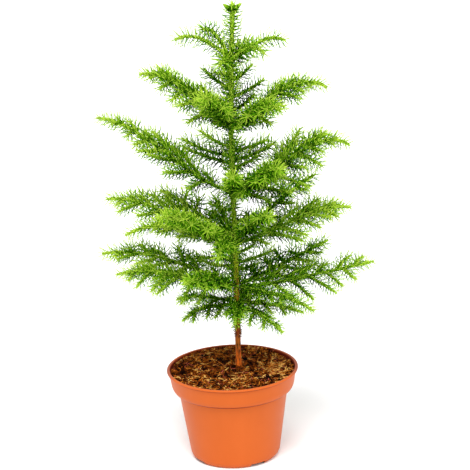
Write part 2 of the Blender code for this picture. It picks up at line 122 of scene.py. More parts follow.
sky = bpy.data.worlds.new("white_room")
bpy.context.scene.world = sky
sky.use_nodes = True
sky.node_tree.nodes["Background"].inputs["Color"].default_value = (1.0, 1.0, 1.0, 1.0)
sky.node_tree.nodes["Background"].inputs["Strength"].default_value = 0.85
bpy.context.scene.view_settings.view_transform = "Standard"
soft_sun("key_lamp", compass=-105, height=64, strength=2.7, spread=30)
soft_sun("fill_lamp", compass=-65, height=35, strength=1.0, spread=50)
print("lamps:", [o.name for o in bpy.data.objects if o.type == "LIGHT"])

# %% [markdown]
# ## Shader maths as Python
#
# A material here is a short expression.  A `Wire` holds the output of a node, and adding or
# multiplying wires adds Math nodes, so that `0.4 + 0.2 * mask` reads as it would on paper.
# Any other node comes from `node`, which takes its settings first and then its inputs.

# %% The wire class
class Wire:
    """An output of a node, on which Python's own operators work."""

    def __init__(self, tree, socket):
        self.tree = tree
        self.socket = socket

    def node(self, kind, settings=None, inputs=None, output=0):
        """Add a node: first its settings, then a number, colour or wire for each input named."""
        made = self.tree.nodes.new("ShaderNode" + kind)
        for name, value in (settings or {}).items():
            if name == "stops":
                ramp = made.color_ramp
                while len(ramp.elements) < len(value):
                    ramp.elements.new(0.5)
                for element, (place, colour) in zip(ramp.elements, value):
                    element.position = place
                    element.color = (*colour, 1.0)
            else:
                setattr(made, name, value)
        for name, value in (inputs or {}).items():
            feed(self.tree, made.inputs[name], value)
        return Wire(self.tree, made.outputs[output])

    def maths(self, operation, first, second):
        """A Math node on two numbers or wires."""
        return self.node("Math", {"operation": operation}, {0: first, 1: second})

    def __add__(self, other):
        return self.maths("ADD", self, other)

    __radd__ = __add__

    def __sub__(self, other):
        return self.maths("SUBTRACT", self, other)

    def __rsub__(self, other):
        return self.maths("SUBTRACT", other, self)

    def __mul__(self, other):
        return self.maths("MULTIPLY", self, other)

    __rmul__ = __mul__

    def size(self):
        """A number without its sign."""
        return self.maths("ABSOLUTE", self, 0.0)

    def axis(self, index):
        """One of the three numbers of these coordinates."""
        return self.node("SeparateXYZ", {}, {"Vector": self}, index)

    def stretched(self, scale):
        """Coordinates with a different scale along each axis."""
        return self.node("VectorMath", {"operation": "MULTIPLY"}, {0: self, 1: scale})

    def cloud(self, scale, detail=2.0, roughness=0.5):
        """Smooth noise from 0 to 1, in the space of these coordinates."""
        return self.node("TexNoise", {"noise_dimensions": "3D"},
                         {"Vector": self, "Scale": scale, "Detail": detail, "Roughness": roughness})

    def between(self, low, high):
        """Spread the part from low to high over 0 to 1."""
        return self.node("MapRange", {"clamp": True}, {"Value": self, "From Min": low, "From Max": high})

    def blend(self, first, second):
        """Mix two colours by this wire."""
        return self.node("Mix", {"data_type": "RGBA"}, {0: self, 6: first, 7: second}, 2)


def feed(tree, socket, value):
    """Link a wire to a socket, or set a plain value on it."""
    if isinstance(value, Wire):
        tree.links.new(value.socket, socket)
    elif isinstance(value, (tuple, list)) and socket.type == "RGBA":
        socket.default_value = (*value, 1.0) if len(value) == 3 else value
    else:
        socket.default_value = value


print("wire class ready")

# %% [markdown]
# Each finish of this plant is one shader with plain values, and wires are then fed to the
# sockets that vary over the surface.  Every material could be wired up on its own, but one
# function keeps them alike, and it gives back what the next lines need.  A fine relief, such
# as the grain of the mix, goes through a Bump node, which costs no faces.

# %% Materials and relief
def new_material(name, colour=(0.5, 0.5, 0.5), roughness=0.5, **constants):
    """A Principled material with plain values; returns it, its shader and object coordinates."""
    made = bpy.data.materials.new(name)
    made.use_nodes = True
    tree = made.node_tree
    shader = tree.nodes["Principled BSDF"]
    shader.inputs["Base Color"].default_value = (*colour, 1.0)
    shader.inputs["Roughness"].default_value = roughness
    for socket, value in constants.items():
        shader.inputs[socket.replace("_", " ")].default_value = value
    place = Wire(tree, tree.nodes.new("ShaderNodeTexCoord").outputs["Object"])
    return made, shader, place


def add_bump(place, shader, height, distance, strength=1.0):
    """Feed a height to the shader's Normal through a Bump node."""
    bump = place.node("Bump", {}, {"Strength": strength, "Distance": distance, "Height": height})
    feed(place.tree, shader.inputs["Normal"], bump)


print("material helpers ready")

# %% [markdown]
# ## Helpers for pieces
#
# Each finished piece is one mesh object at the origin that rides on the only body, `root`.
# It takes the place of the plain solids that it stands for.

# %% Finish a piece
WELD_GAP = 0.001 * MM


def finish_piece(mesh, name, materials, nodes=()):
    """Make an object of a mesh, and hand it to the frame."""
    made = placed(name, mesh)
    for finish in materials:
        mesh.materials.append(finish)
    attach(made, "root")
    if nodes:
        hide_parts(*nodes)
    triangles = sum(len(face.vertices) - 2 for face in mesh.polygons)
    print(f"{name}: {triangles} triangles")


def soften(shape, angle):
    """Shade a bmesh smooth, but keep the edges sharper than an angle."""
    for face in shape.faces:
        face.smooth = True
    for edge in shape.edges:
        edge.smooth = edge.calc_face_angle(0.0) < radians(angle)


def mesh_of(shape, name):
    """Turn a bmesh into a mesh."""
    mesh = bpy.data.meshes.new(name)
    shape.to_mesh(mesh)
    shape.free()
    return mesh


def applied(source, name):
    """The mesh of an object with its modifiers, or of a curve, its loose caps welded."""
    graph = bpy.context.evaluated_depsgraph_get()
    mesh = bpy.data.meshes.new_from_object(source.evaluated_get(graph))
    bpy.data.objects.remove(source, do_unlink=True)
    shape = bmesh.new()
    shape.from_mesh(mesh)
    bmesh.ops.remove_doubles(shape, verts=shape.verts, dist=WELD_GAP)
    bmesh.ops.recalc_face_normals(shape, faces=shape.faces)
    shape.to_mesh(mesh)
    shape.free()
    mesh.name = name
    return mesh


print("piece helpers ready")

# %% [markdown]
# ## The pot
#
# A pot like this is moulded in one shot, so it is one turned wall of even thickness: a rolled
# lip, a deep band that the stacked pots rest on, a tapering body and a rounded foot.  It could
# be cut from a cylinder, but a profile that is spun is how its mould is made, and each corner
# of the profile can be rounded before the spin with a vertex bevel, which costs nothing.

# %% The pot's sizes
BODY_FOOT_RADIUS = 57.8 * MM
CHANNEL_INNER = 30 * MM
CHANNEL_OUTER = 45 * MM
CHANNEL_HEIGHT = 4.2 * MM
FLOOR_TOP = 6.7 * MM
POT_SIDES = 144
ROUNDING_STEPS = 4
SPIN_GAP = 0.01 * MM

POT_PROFILE = [
    (0.0, 0.0, 0.0), (30.0, 0.0, 0.4), (31.0, 4.2, 0.4), (44.0, 4.2, 0.4), (45.0, 0.0, 0.4),
    (53.2, 0.0, 1.6), (57.8, 5.6, 2.6), (70.4, 90.6, 0.4), (73.2, 90.4, 0.9), (76.8, 92.4, 2.0),
    (79.2, 97.6, 2.2), (82.2, 116.2, 0.3), (84.4, 116.4, 0.7), (85.0, 117.7, 0.7),
    (84.4, 119.0, 0.8), (81.0, 119.0, 0.8), (80.4, 115.4, 0.8), (77.4, 98.4, 2.0),
    (74.6, 94.4, 1.6), (68.7, 89.0, 1.2), (56.2, 9.5, 2.2), (52.6, 6.7, 1.8), (0.0, 6.7, 0.0),
]


def turned_shape(profile, sides):
    """Spin a profile of (radius, height, rounding) in mm about the upright axis."""
    shape = bmesh.new()
    corners = [shape.verts.new((r * MM, 0.0, z * MM)) for r, z, rounding in profile]
    for a, b in zip(corners, corners[1:]):
        shape.edges.new((a, b))
    for corner, (r, z, rounding) in zip(corners, profile):
        if rounding:
            bmesh.ops.bevel(shape, geom=[corner], offset=rounding * MM, offset_type="OFFSET",
                            segments=ROUNDING_STEPS, profile=0.5, affect="VERTICES", material=-1)
    bmesh.ops.spin(shape, geom=shape.verts[:] + shape.edges[:], cent=(0.0, 0.0, 0.0),
                   axis=(0.0, 0.0, 1.0), angle=2 * pi, steps=sides, use_merge=True)
    bmesh.ops.remove_doubles(shape, verts=shape.verts, dist=SPIN_GAP)
    bmesh.ops.recalc_face_normals(shape, faces=shape.faces)
    return shape


pot_shape = turned_shape(POT_PROFILE, POT_SIDES)
print("pot wall:", len(pot_shape.faces), "faces")

# %% [markdown]
# Water leaves through four wide slots in the foot and a ring of round holes in the floor.  They
# are cut with Booleans, as the wall is closed and the cutters are plain boxes and cylinders.
# No two cutters may overlap, because the cut would leave stray faces where they do.

# %% Slots and holes in the pot's foot
SLOTS = 4
SLOT_WIDTH = 20 * MM
SLOT_SPARE = 6 * MM
FIRST_SLOT = radians(31)
DRAIN_HOLES = 8
DRAIN_HOLE_RADIUS = 4 * MM
DRAIN_HOLE_SIDES = 24
DRAIN_HOLE_MIDDLE = FLOOR_TOP - 1 * MM
DRAIN_HOLE_DEPTH = 6 * MM
SHARP_POT_EDGE = 32

cutter_shape = bmesh.new()
for index in range(SLOTS):
    turn = Matrix.Rotation(FIRST_SLOT + 2 * pi * index / SLOTS, 4, "Z")
    slot_place = turn @ Matrix.Translation(((CHANNEL_OUTER + BODY_FOOT_RADIUS) / 2, 0.0, 0.0))
    slot_reach = BODY_FOOT_RADIUS - CHANNEL_OUTER + SLOT_SPARE
    slot_size = Matrix.Diagonal((slot_reach, SLOT_WIDTH, 2 * CHANNEL_HEIGHT, 1.0))
    bmesh.ops.create_cube(cutter_shape, size=1.0, matrix=slot_place @ slot_size)
for index in range(DRAIN_HOLES):
    turn = Matrix.Rotation(FIRST_SLOT + 2 * pi * index / DRAIN_HOLES, 4, "Z")
    hole_middle = ((CHANNEL_INNER + CHANNEL_OUTER) / 2, 0.0, DRAIN_HOLE_MIDDLE)
    bmesh.ops.create_cone(cutter_shape, cap_ends=True, segments=DRAIN_HOLE_SIDES,
                          radius1=DRAIN_HOLE_RADIUS, radius2=DRAIN_HOLE_RADIUS,
                          depth=DRAIN_HOLE_DEPTH, matrix=turn @ Matrix.Translation(hole_middle))
cutter = placed("drain_cutter", mesh_of(cutter_shape, "drain_cutter"))
pot_source = placed("pot_source", mesh_of(pot_shape, "pot_source"))
drains = pot_source.modifiers.new("drains", "BOOLEAN")
drains.operation = "DIFFERENCE"
drains.solver = "EXACT"
drains.object = cutter
pot_mesh = applied(pot_source, "pot_plastic")
bpy.data.objects.remove(cutter, do_unlink=True)
smoothing = bmesh.new()
smoothing.from_mesh(pot_mesh)
soften(smoothing, SHARP_POT_EDGE)
smoothing.to_mesh(pot_mesh)
smoothing.free()
print("pot with its drains:", len(pot_mesh.polygons), "faces")

# %% [markdown]
# Moulded terracotta-coloured plastic is satin, not matt, so it pales towards its outline.  Its
# colour is nearly even, with faint clouds where the melt flowed, and a fine orange peel that
# only the bump shows.  Painted shade darkens the crease under the band and, more faintly, the
# line below the lip, and a darker, greyer painted shade dulls both ends of the rim, left and
# right; a ramp over the height places the lines.

# %% Satin terracotta plastic
BAND_FOOT = 89 * MM
LIP_TOP = 119 * MM
SHADED_RIM_ENDS = (74 * MM, 83 * MM)
SHADED_RIM_HEIGHTS = (113.5 * MM, 115.5 * MM)

plastic, shader, place = new_material("terracotta_plastic", Specular_IOR_Level=0.12)
clouds = place.cloud(22.0, 3.0)
flow = place.stretched((60.0, 60.0, 9.0)).cloud(1.0, 2.0)
tint = (0.6 * clouds + 0.4 * flow).between(0.3, 0.7)
melt = tint.blend((0.485, 0.093, 0.012), (0.525, 0.104, 0.015))
height = place.axis(2)
band = height.between(BAND_FOOT, LIP_TOP)
# Painted shade: a dark red line in the crease under the band, and a fainter one below the lip.
shade_lines = band.node("ValToRGB", {"stops": [
    (0.0, (0.0, 0.0, 0.0)), (0.02, (1.0, 1.0, 1.0)), (0.11, (1.0, 1.0, 1.0)),
    (0.15, (0.0, 0.0, 0.0)), (0.84, (0.0, 0.0, 0.0)), (0.88, (0.5, 0.5, 0.5)),
    (0.92, (0.5, 0.5, 0.5)), (0.94, (0.0, 0.0, 0.0)),
]}, {0: band})
with_shade_lines = shade_lines.blend(melt, (0.20, 0.014, 0.0))
# Painted shade, darker and greyer, on both ends of the rim, left and right.
rim_end_shade = 0.75 * (place.axis(0).size().between(*SHADED_RIM_ENDS) * height.between(*SHADED_RIM_HEIGHTS))
with_rim_end_shade = rim_end_shade.blend(with_shade_lines, (0.27, 0.080, 0.050))
print("dirt and dust placed from", round(BAND_FOOT / MM), "to", round(LIP_TOP / MM), "mm")

# %% [markdown]
# Inside the mouth the wall above the mix is a deeper red, which is painted shade.  The underside
# of the foot and the side walls of its slots are near black: mix stuck in the slots, and painted
# shade under the pot.  These marks could be painted on an unwrapped map.  But each lies within
# plain limits of height, of distance from the pot's axis and of distance from a slot's side
# walls, so a few masks place them, and no unwrapping is needed.

# %% Painted shade in the mouth, and mix and painted shade in the slots
MOUTH_WALL = (80.6 * MM, 81.6 * MM)
MOUTH_RIM = (113.6 * MM, 114.6 * MM)
SLOT_SIDE = (0.2 * MM, 0.5 * MM)
SLOT_BACK = (51.0 * MM, 52.6 * MM)
SLOT_ROOF = (4.4 * MM, 6.0 * MM)

level = place.stretched((1.0, 1.0, 0.0))
from_axis = level.node("VectorMath", {"operation": "LENGTH"}, {0: level}, "Value")
# Painted shade: a deeper red on the wall inside the mouth.
mouth_shade = (1.0 - from_axis.between(*MOUTH_WALL)) * height.between(*MOUTH_RIM)
shaded = mouth_shade.blend(with_rim_end_shade, (0.15, 0.010, 0.003))
# Near black under the foot and on the slots' side walls: mix stuck in the slots, and painted shade under
# the pot.
turned = place.node("Mapping", {}, {"Vector": place, "Rotation": (0.0, 0.0, -FIRST_SLOT)})
from_sides = [turned.axis(index).size() - SLOT_WIDTH / 2 for index in (0, 1)]
near_sides = [1.0 - distance.size().between(*SLOT_SIDE) for distance in from_sides]
inside = 1.0 - from_axis.between(*SLOT_BACK)
on_walls = near_sides[0].maths("MAXIMUM", near_sides[0], near_sides[1])
slot_mix_and_shade = inside.maths("MAXIMUM", inside, on_walls) * (1.0 - height.between(*SLOT_ROOF))
feed(place.tree, shader.inputs["Base Color"], slot_mix_and_shade.blend(shaded, (0.045, 0.006, 0.002)))
feed(place.tree, shader.inputs["Roughness"], 0.36 + 0.14 * clouds)
add_bump(place, shader, place.cloud(700.0, 2.0), 0.05 * MM, 0.5)
finish_piece(pot_mesh, "pot_body", [plastic], ["pot"])

# %% [markdown]
# ## The potting mix
#
# The mix is coir fibre and shredded bark.  Its surface is a turned disc whose top is pushed up
# and down by noise, and several thousand separate bent fibres and shreds lie on it.  The
# fibres could be a texture, but at this distance each one throws its own shadow, and that
# shadow is what makes the mix look loose.

# %% Surface of the mix
SOIL_TOP = 115 * MM
SOIL_SLOPE = 0.025
SOIL_RADIUS = 79.6
SOIL_RINGS = 53
SOIL_SIDES = 150
SOIL_EDGE = 4 * MM
EDGE_DROP = 0.8 * MM
BY_TRUNK = 12 * MM
SHARP_SOIL_EDGE = 80
LUMPS = ((1.6, 38.0), (1.3, 110.0), (0.9, 300.0))
PITS = ((-68, -4, 22, 4.5), (62, 34, 20, 3.5))
SOIL_PROFILE = [
    (0.0, 7.0), (51.5, 7.0), (55.6, 10.0), (68.0, 88.6), (73.8, 94.8), (76.6, 98.8), (79.2, 111.0),
]
TRUNK_FOOT = Vector((8.2 * MM, 12 * MM, SOIL_TOP + 0.3 * MM))


def soil_height(x, y):
    """Height of the mix: lumpy, higher at the back, with pits by the wall at two places."""
    here = Vector((x, y, 0.0))
    lumps = sum(height * noise.noise(here * scale) for height, scale in LUMPS)
    pits = sum(depth * max(0.0, 1.0 - (here - Vector((px, py, 0)) * MM).length / (reach * MM))
               for px, py, reach, depth in PITS)
    from_trunk = Vector((x - TRUNK_FOOT.x, y - TRUNK_FOOT.y, 0.0)).length
    near_trunk = max(0.0, 1.0 - from_trunk / BY_TRUNK)
    slope = SOIL_SLOPE * (y - TRUNK_FOOT.y)
    return SOIL_TOP + slope + MM * (0.4 + lumps * (1.0 - near_trunk) - pits)


def evenly(first, last, count):
    """Numbers in even steps from the first to the last."""
    return [first + (last - first) * step / (count - 1) for step in range(count)]


soil_rings = [(radius, SOIL_TOP / MM) for radius in evenly(SOIL_RADIUS, 0.0, SOIL_RINGS)]
soil_shape = turned_shape([(r, z, 0.0) for r, z in SOIL_PROFILE + soil_rings], SOIL_SIDES)
for vertex in soil_shape.verts:
    if vertex.co.z > SOIL_TOP - 1 * MM:
        edge = min(1.0, max(0.0, (SOIL_RADIUS * MM - vertex.co.xy.length) / SOIL_EDGE))
        vertex.co.z = soil_height(vertex.co.x, vertex.co.y) - EDGE_DROP * (1.0 - edge)
soften(soil_shape, SHARP_SOIL_EDGE)
print("mix surface:", len(soil_shape.faces), "faces")

# %% [markdown]
# Under the fibres the mix is dark and matt.  Fine noise stands for its crumbs and broad noise
# for damp and dry areas.  Both steer one blend from near black to brown, and the fine noise is
# the bump too, so that each dark spot is also a hollow: the near black is the crumbs' own dark
# and painted shade in the hollows and between the fibres.

# %% Dark crumbly mix
crumbs, shader, place = new_material("potting_mix", roughness=0.95, Specular_IOR_Level=0.05)
grain = place.cloud(420.0, 5.0, 0.7)
patches = place.cloud(45.0, 2.0)
# Dark where the bump makes hollows: the crumbs' own colour and painted shade.
dark_or_brown = (0.75 * grain + 0.25 * patches).between(0.38, 0.62)
mix_colour = dark_or_brown.blend((0.005, 0.001, 0.0), (0.10, 0.024, 0.002))
feed(place.tree, shader.inputs["Base Color"], mix_colour)
add_bump(place, shader, grain, 1.2 * MM)
finish_piece(mesh_of(soil_shape, "mix_surface"), "mix_surface", [crumbs], ["soil"])

# %% [markdown]
# ## Many small things from arrays
#
# Fibres, shreds and needles are all the same few faces over and over.  One function takes a ring
# of corners for each section of each thing, as arrays, and returns a single joined mesh, with
# each thing's finish chosen from a short list.

# %% Joined prisms
def joined_prisms(rings, tips, finishes, name):
    """A mesh of closed three-sided prisms: rings is (things, sections, 3, 3), tips closes them,
    and finishes is (things, sections)."""
    count, sections = rings.shape[:2]
    per_thing = sections * 3 + 1
    points = np.concatenate([rings.reshape(count, sections * 3, 3), tips.reshape(count, 1, 3)], axis=1)
    pattern = [(2, 1, 0)]
    owners = [0]
    for section in range(sections - 1):
        low = section * 3
        for corner in range(3):
            beside = (corner + 1) % 3
            pattern.append((low + corner, low + beside, low + beside + 3, low + corner + 3))
            owners.append(section)
    top = (sections - 1) * 3
    pattern += [(top + corner, top + (corner + 1) % 3, per_thing - 1) for corner in range(3)]
    owners += [sections - 1] * 3
    corners = np.concatenate([np.array(face) for face in pattern])
    sizes = np.array([len(face) for face in pattern])
    loops = (corners[None, :] + np.arange(count)[:, None] * per_thing).ravel()
    totals = np.tile(sizes, count)
    starts = np.concatenate([[0], np.cumsum(totals)[:-1]])
    mesh = bpy.data.meshes.new(name)
    mesh.vertices.add(count * per_thing)
    mesh.vertices.foreach_set("co", points.reshape(-1).astype(np.float32))
    mesh.loops.add(len(loops))
    mesh.loops.foreach_set("vertex_index", loops.astype(np.int32))
    mesh.polygons.add(len(totals))
    mesh.polygons.foreach_set("loop_start", starts.astype(np.int32))
    mesh.polygons.foreach_set("material_index", finishes[:, owners].reshape(-1).astype(np.int32))
    mesh.polygons.foreach_set("use_smooth", np.ones(len(totals), bool))
    mesh.update(calc_edges=True)
    mesh.validate()
    return mesh


def unit(vectors):
    """Rows scaled to length 1."""
    return vectors / np.linalg.norm(vectors, axis=-1, keepdims=True)


def triangles_round(centres, heading, side, half_width, half_depth):
    """Corners of a triangle round each centre, across its heading."""
    across = unit(np.cross(heading, side))
    deep = np.cross(heading, across)
    rings = []
    for corner in range(3):
        turn = 2 * pi * corner / 3
        offset = across * (cos(turn) * half_width)[:, None] + deep * (sin(turn) * half_depth)[:, None]
        rings.append(centres + offset)
    return np.stack(rings, axis=1)


print("array helpers ready")

# %% [markdown]
# A fibre is a thin strip with one bend that lies nearly flat.  Pale straw-coloured ones gather
# in patches, where dry coir has come to the top, and dark shreds of bark lie between; the
# darkest are near black, bark and painted shade, and gather in clumps for the shaded gaps
# between fibres.  A few are red.  Each patch is a place, a reach, and how much drier it is
# than the rest.

# %% Colours of the fibres
# The first two colours are near black: dark bark, and painted shade in the gaps between fibres.
FIBRE_COLOURS = (
    (0.003, 0.0, 0.0), (0.020, 0.003, 0.0), (0.132, 0.025, 0.001),
    (0.330, 0.072, 0.005), (0.620, 0.200, 0.022), (0.880, 0.500, 0.130), (0.52, 0.11, 0.06),
)
PALEST = 5
RED = 6
RED_SHARE = 0.035
MIDDLE_COLOUR = 2.0
COLOUR_SPREAD = 1.2
DRIER_BEHIND = 5.0
DRY_PATCHES = (
    (-45 * MM, -14 * MM, 24 * MM, 0.85), (56 * MM, -4 * MM, 32 * MM, 1.10),
    (-68 * MM, 0.0, 20 * MM, -0.4), (TRUNK_FOOT.x, TRUNK_FOOT.y, 12 * MM, -0.7),
)


def fibre_finish(x, y, chance):
    """Pick a fibre's colour: pale where the mix is dry, dark where it is damp and in clumps of painted
    shade.
    """
    dry = noise.noise(Vector((x * 40.0, y * 40.0, 3.0))) + DRIER_BEHIND * max(0.0, y)
    # Finer noise gathers the fibres into pale and dark clumps; the dark ones are painted shade for the
    # gaps.
    dry += 2.2 * noise.noise(Vector((x * 150.0, y * 150.0, 7.0)))
    for patch_x, patch_y, reach, drier in DRY_PATCHES:
        dry += drier * max(0.0, 1.0 - Vector((x - patch_x, y - patch_y)).length / reach)
    if chance.random() < RED_SHARE:
        return RED
    shade = round(MIDDLE_COLOUR + 1.8 * dry + chance.gauss(0.0, COLOUR_SPREAD))
    return int(min(PALEST, max(0, shade)))


print("fibre colours:", len(FIBRE_COLOURS))

# %% [markdown]
# Each fibre gets a random place on the disc, a heading and a slight slope.  Most are short and
# a few are long, which an exponential draw gives.  One that would poke through the pot's wall
# is made shorter.

# %% Lay the fibres
FIBRES = 7000
FIBRE_REACH = 79.0 * MM
WALL_INSIDE = 79.5 * MM
SHORTEST_FIBRE = 2.6
MORE_LENGTH = 3.4
LONGEST_FIBRE = 16.0
FIBRE_SLOPE = 0.3
FIBRE_LIFT = 1.8
FIBRE_WIDTHS = (0.35, 1.05)
FIBRE_BOW = 0.22

chance = Random(11)
middles, headings, lengths, widths, finishes = [], [], [], [], []
for index in range(FIBRES):
    radius = FIBRE_REACH * chance.random() ** 0.5
    turn = chance.uniform(0.0, 2 * pi)
    x = radius * cos(turn)
    y = radius * sin(turn)
    length = min(LONGEST_FIBRE, SHORTEST_FIBRE + chance.expovariate(1 / MORE_LENGTH)) * MM
    heading = chance.uniform(0.0, 2 * pi)
    slope = chance.gauss(0.0, FIBRE_SLOPE)
    length *= min(1.0, max(0.3, (WALL_INSIDE - radius) / length * 2))
    middles.append((x, y, soil_height(x, y) + chance.uniform(0.0, FIBRE_LIFT) * MM))
    headings.append((cos(heading) * cos(slope), sin(heading) * cos(slope), sin(slope)))
    lengths.append(length)
    widths.append(chance.uniform(*FIBRE_WIDTHS) * MM)
    finishes.append(fibre_finish(x, y, chance))
middles = np.array(middles)
headings = unit(np.array(headings))
lengths = np.array(lengths)
widths = np.array(widths)
flat = np.tile([0.0, 0.0, 1.0], (FIBRES, 1))
bow = lengths * np.array([chance.uniform(-FIBRE_BOW, FIBRE_BOW) for length in lengths])
bends = unit(np.cross(headings, flat)) * bow[:, None]
ends = headings * (lengths / 2)[:, None]
start = triangles_round(middles - ends, headings, flat, widths * 0.7, widths * 0.4)
middle = triangles_round(middles + bends, headings, flat, widths, widths * 0.55)
late = triangles_round(middles + ends * 0.8 + bends * 0.3, headings, flat, widths * 0.7, widths * 0.4)
fibre_rings = np.stack([start, middle, late], axis=1)
fibre_paints = [
    new_material(f"fibre_{index}", colour, 0.9, Specular_IOR_Level=0.05)[0]
    for index, colour in enumerate(FIBRE_COLOURS)
]
fibre_finishes = np.array(finishes)[:, None].repeat(3, 1)
fibre_mesh = joined_prisms(fibre_rings, middles + ends, fibre_finishes, "mix_fibres")
finish_piece(fibre_mesh, "mix_fibres", fibre_paints)

# %% [markdown]
# ## How the tree grows
#
# The boughs follow the same table and the same rule as the solid model, so each one starts and
# ends where its solid does.  A bough leaves the trunk at one slope and ends at another, with a
# smooth cubic curve between.  Its side twigs stand in two flat ranks like the barbs of a
# feather, longest near the trunk.

# %% The table of boughs
FAN_TILT = 0.12

Bough = namedtuple("Bough", "compass reach rise start end spread sag bare tilt tapering")
Whorl = namedtuple("Whorl", "height boughs")


def bough(compass, reach, rise, start, end, spread, sag=0.1, bare=0.15, tilt=FAN_TILT, tapering=0.3):
    """Compass degrees (0 right, 90 back), reach and rise in mm, slopes at both ends in degrees,
    side twigs' length and sag as shares, the share of the bough that bears no side twig, how much
    the side twigs rise towards the back and sink towards the front, and the share of the bough
    over which they shorten to its tip."""
    start, end = radians(start), radians(end)
    return Bough(radians(compass), reach * MM, rise * MM, start, end, spread, sag, bare, tilt, tapering)


WHORLS = (
    Whorl(202 * MM, (
        bough(75, 75, -5, 0, -15, 0.30),
        bough(165, 80, -1, 5, -25, 0.22, 0.2),
        bough(205, 77, -8, 5, -35, 0.34, 0.4),
        bough(267, 80, -2, 2, -30, 0.25, 0.3),
        bough(309, 88, -16, -2, -25, 0.28, 0.3),
        bough(350, 85, -13, 0, -20, 0.25, 0.2),
    )),
    Whorl(225 * MM, (
        bough(4, 177, 23, 1, 9, 0.28, 0.25, tilt=0.4, tapering=0.18),
        bough(44, 172, 17, 2, 6, 0.28),
        bough(92, 148, 12, 5, 5, 0.55, 0.0, 0.38),
        bough(162, 181, 31, 18, -14, 0.32, 0.15),
        bough(192, 154, 34, 13, -10, 0.38, 0.4),
        bough(241, 130, 42, 20, -4, 0.28, 0.3),
        bough(316, 131, -6, 0, -20, 0.12, 0.4),
    )),
    Whorl(284 * MM, (
        bough(0, 148, 42, 8, -10, 0.46, 0.2),
        bough(40, 142, 58, 25, 12, 0.24),
        bough(101, 120, 26, 15, 5, 0.28, 0.0),
        bough(134, 135, 43, 18, 5, 0.28, 0.0),
        bough(172, 162, 59, 15, -8, 0.42, 0.2),
        bough(200, 144, 29, 12, -25, 0.16),
        bough(229, 140, 69, 22, 0, 0.28),
        bough(258, 106, 10, 5, -22, 0.14),
        bough(295, 104, 60, 35, 5, 0.26),
    )),
    Whorl(349 * MM, (
        bough(0, 148, 59, 2, -35, 0.48, 0.2, 0.1, 0.3, 0.5),
        bough(46, 130, 54, 2, 44, 0.14, 0.05, 0.6),
        bough(88, 128, 36, 15, 5, 0.80, 0.05, 0.44, tapering=0.15),
        bough(178, 166, 102, 15, 5, 0.36, 0.15, tilt=0.3, tapering=0.5),
        bough(270, 90, 48, 30, 20, 0.18),
        bough(304, 104, 52, 22, 5, 0.36, 0.5),
    )),
    Whorl(432 * MM, (
        bough(0, 121, 52, 35, -32, 0.38, 0.25, 0.1, 0.2, 0.5),
        bough(88, 95, 60, 34, 10, 0.60, 0.12, 0.22),
        bough(140, 74, 48, 40, 0, 0.30),
        bough(180, 110, 74, 42, -12, 0.52, 0.35, 0.1, 0.2, 0.5),
        bough(247, 80, 62, 46, 18, 0.40, 0.2, 0.1),
        bough(308, 99, 42, 30, -12, 0.26, 0.3, 0.1),
    )),
    Whorl(521 * MM, (
        bough(8, 68, 22, 35, -28, 0),
        bough(60, 55, 6, 20, -20, 0),
        bough(122, 66, 30, 48, -20, 0),
        bough(188, 69, 29, 42, -28, 0),
        bough(250, 44, 4, 18, -30, 0),
        bough(312, 60, 15, 30, -35, 0),
    )),
)
print("boughs:", [len(whorl.boughs) for whorl in WHORLS])

# %% [markdown]
# The trunk and the boughs are centre lines that are worked out from a height or from a share of
# their length.  Curves drawn by hand would do for one bough, but a formula serves all forty,
# and the bark, the twigs and the needles all follow the same line.

# %% Curves of the trunk and of a bough
TRUNK_TOP = 540 * MM
TREE_TOP = 594 * MM
LEAN_START = 400 * MM
LEAN = 9 * MM
BOW = 1.5 * MM
BOW_HEIGHT = 120 * MM
FOOT_GIRTH = 3.7 * MM
FLARE = 1.1 * MM
FLARE_HEIGHT = 14 * MM
TOP_GIRTH = 1.5 * MM
SLIMMEST_TRUNK = 2.2 * MM
WHORL_STEP = 3 * MM


def trunk_axis(height):
    """The trunk's centre line, which leans a little above its foot and again near its top."""
    share = max(0.0, (height - LEAN_START) / (TREE_TOP - LEAN_START))
    bow = BOW * min(1.0, (height - TRUNK_FOOT.z) / BOW_HEIGHT)
    return Vector((TRUNK_FOOT.x + bow + LEAN * share ** 1.5, TRUNK_FOOT.y, height))


def trunk_radius(height):
    """True taper, with a flare at the foot."""
    share = (height - TRUNK_FOOT.z) / (TREE_TOP - TRUNK_FOOT.z)
    above_foot = min(1.0, (height - TRUNK_FOOT.z) / FLARE_HEIGHT)
    return FOOT_GIRTH + (TOP_GIRTH - FOOT_GIRTH) * share ** 1.3 + FLARE * (1.0 - above_foot) ** 2


def bark_radius(height):
    """The trunk's radius with its bark, also below ground and near the top."""
    return max(SLIMMEST_TRUNK, trunk_radius(max(height, TRUNK_FOOT.z)))


def trunk_stretch(heights):
    """The trunk's centre line and its radii at some heights."""
    return [trunk_axis(z) for z in heights], [bark_radius(z) for z in heights]


def whorl_height(whorl, index):
    """Neighbouring boughs leave the trunk a little above and below each other."""
    count = len(whorl.boughs)
    if count % 2 and index == count - 1:
        return whorl.height
    return whorl.height + WHORL_STEP * (0.5 if index % 2 else -0.5)


def bough_point(height, limb, share):
    """A point on a bough's centre line, from the trunk's axis to the bough's tip."""
    level = limb.reach * share
    lift = limb.rise * (3 * share ** 2 - 2 * share ** 3)
    lift += limb.reach * tan(limb.start) * (share - 2 * share ** 2 + share ** 3)
    lift += limb.reach * tan(limb.end) * (share ** 3 - share ** 2)
    return trunk_axis(height) + Vector((cos(limb.compass) * level, sin(limb.compass) * level, lift))


def bough_direction(height, limb, share):
    """Which way a bough points at a share of its length."""
    step = 0.02
    ahead = bough_point(height, limb, min(1.0, share + step))
    return (ahead - bough_point(height, limb, share - step)).normalized()


print("trunk radius at foot and top, mm:", round(trunk_radius(TRUNK_FOOT.z) / MM, 2),
      round(trunk_radius(TRUNK_TOP) / MM, 2))

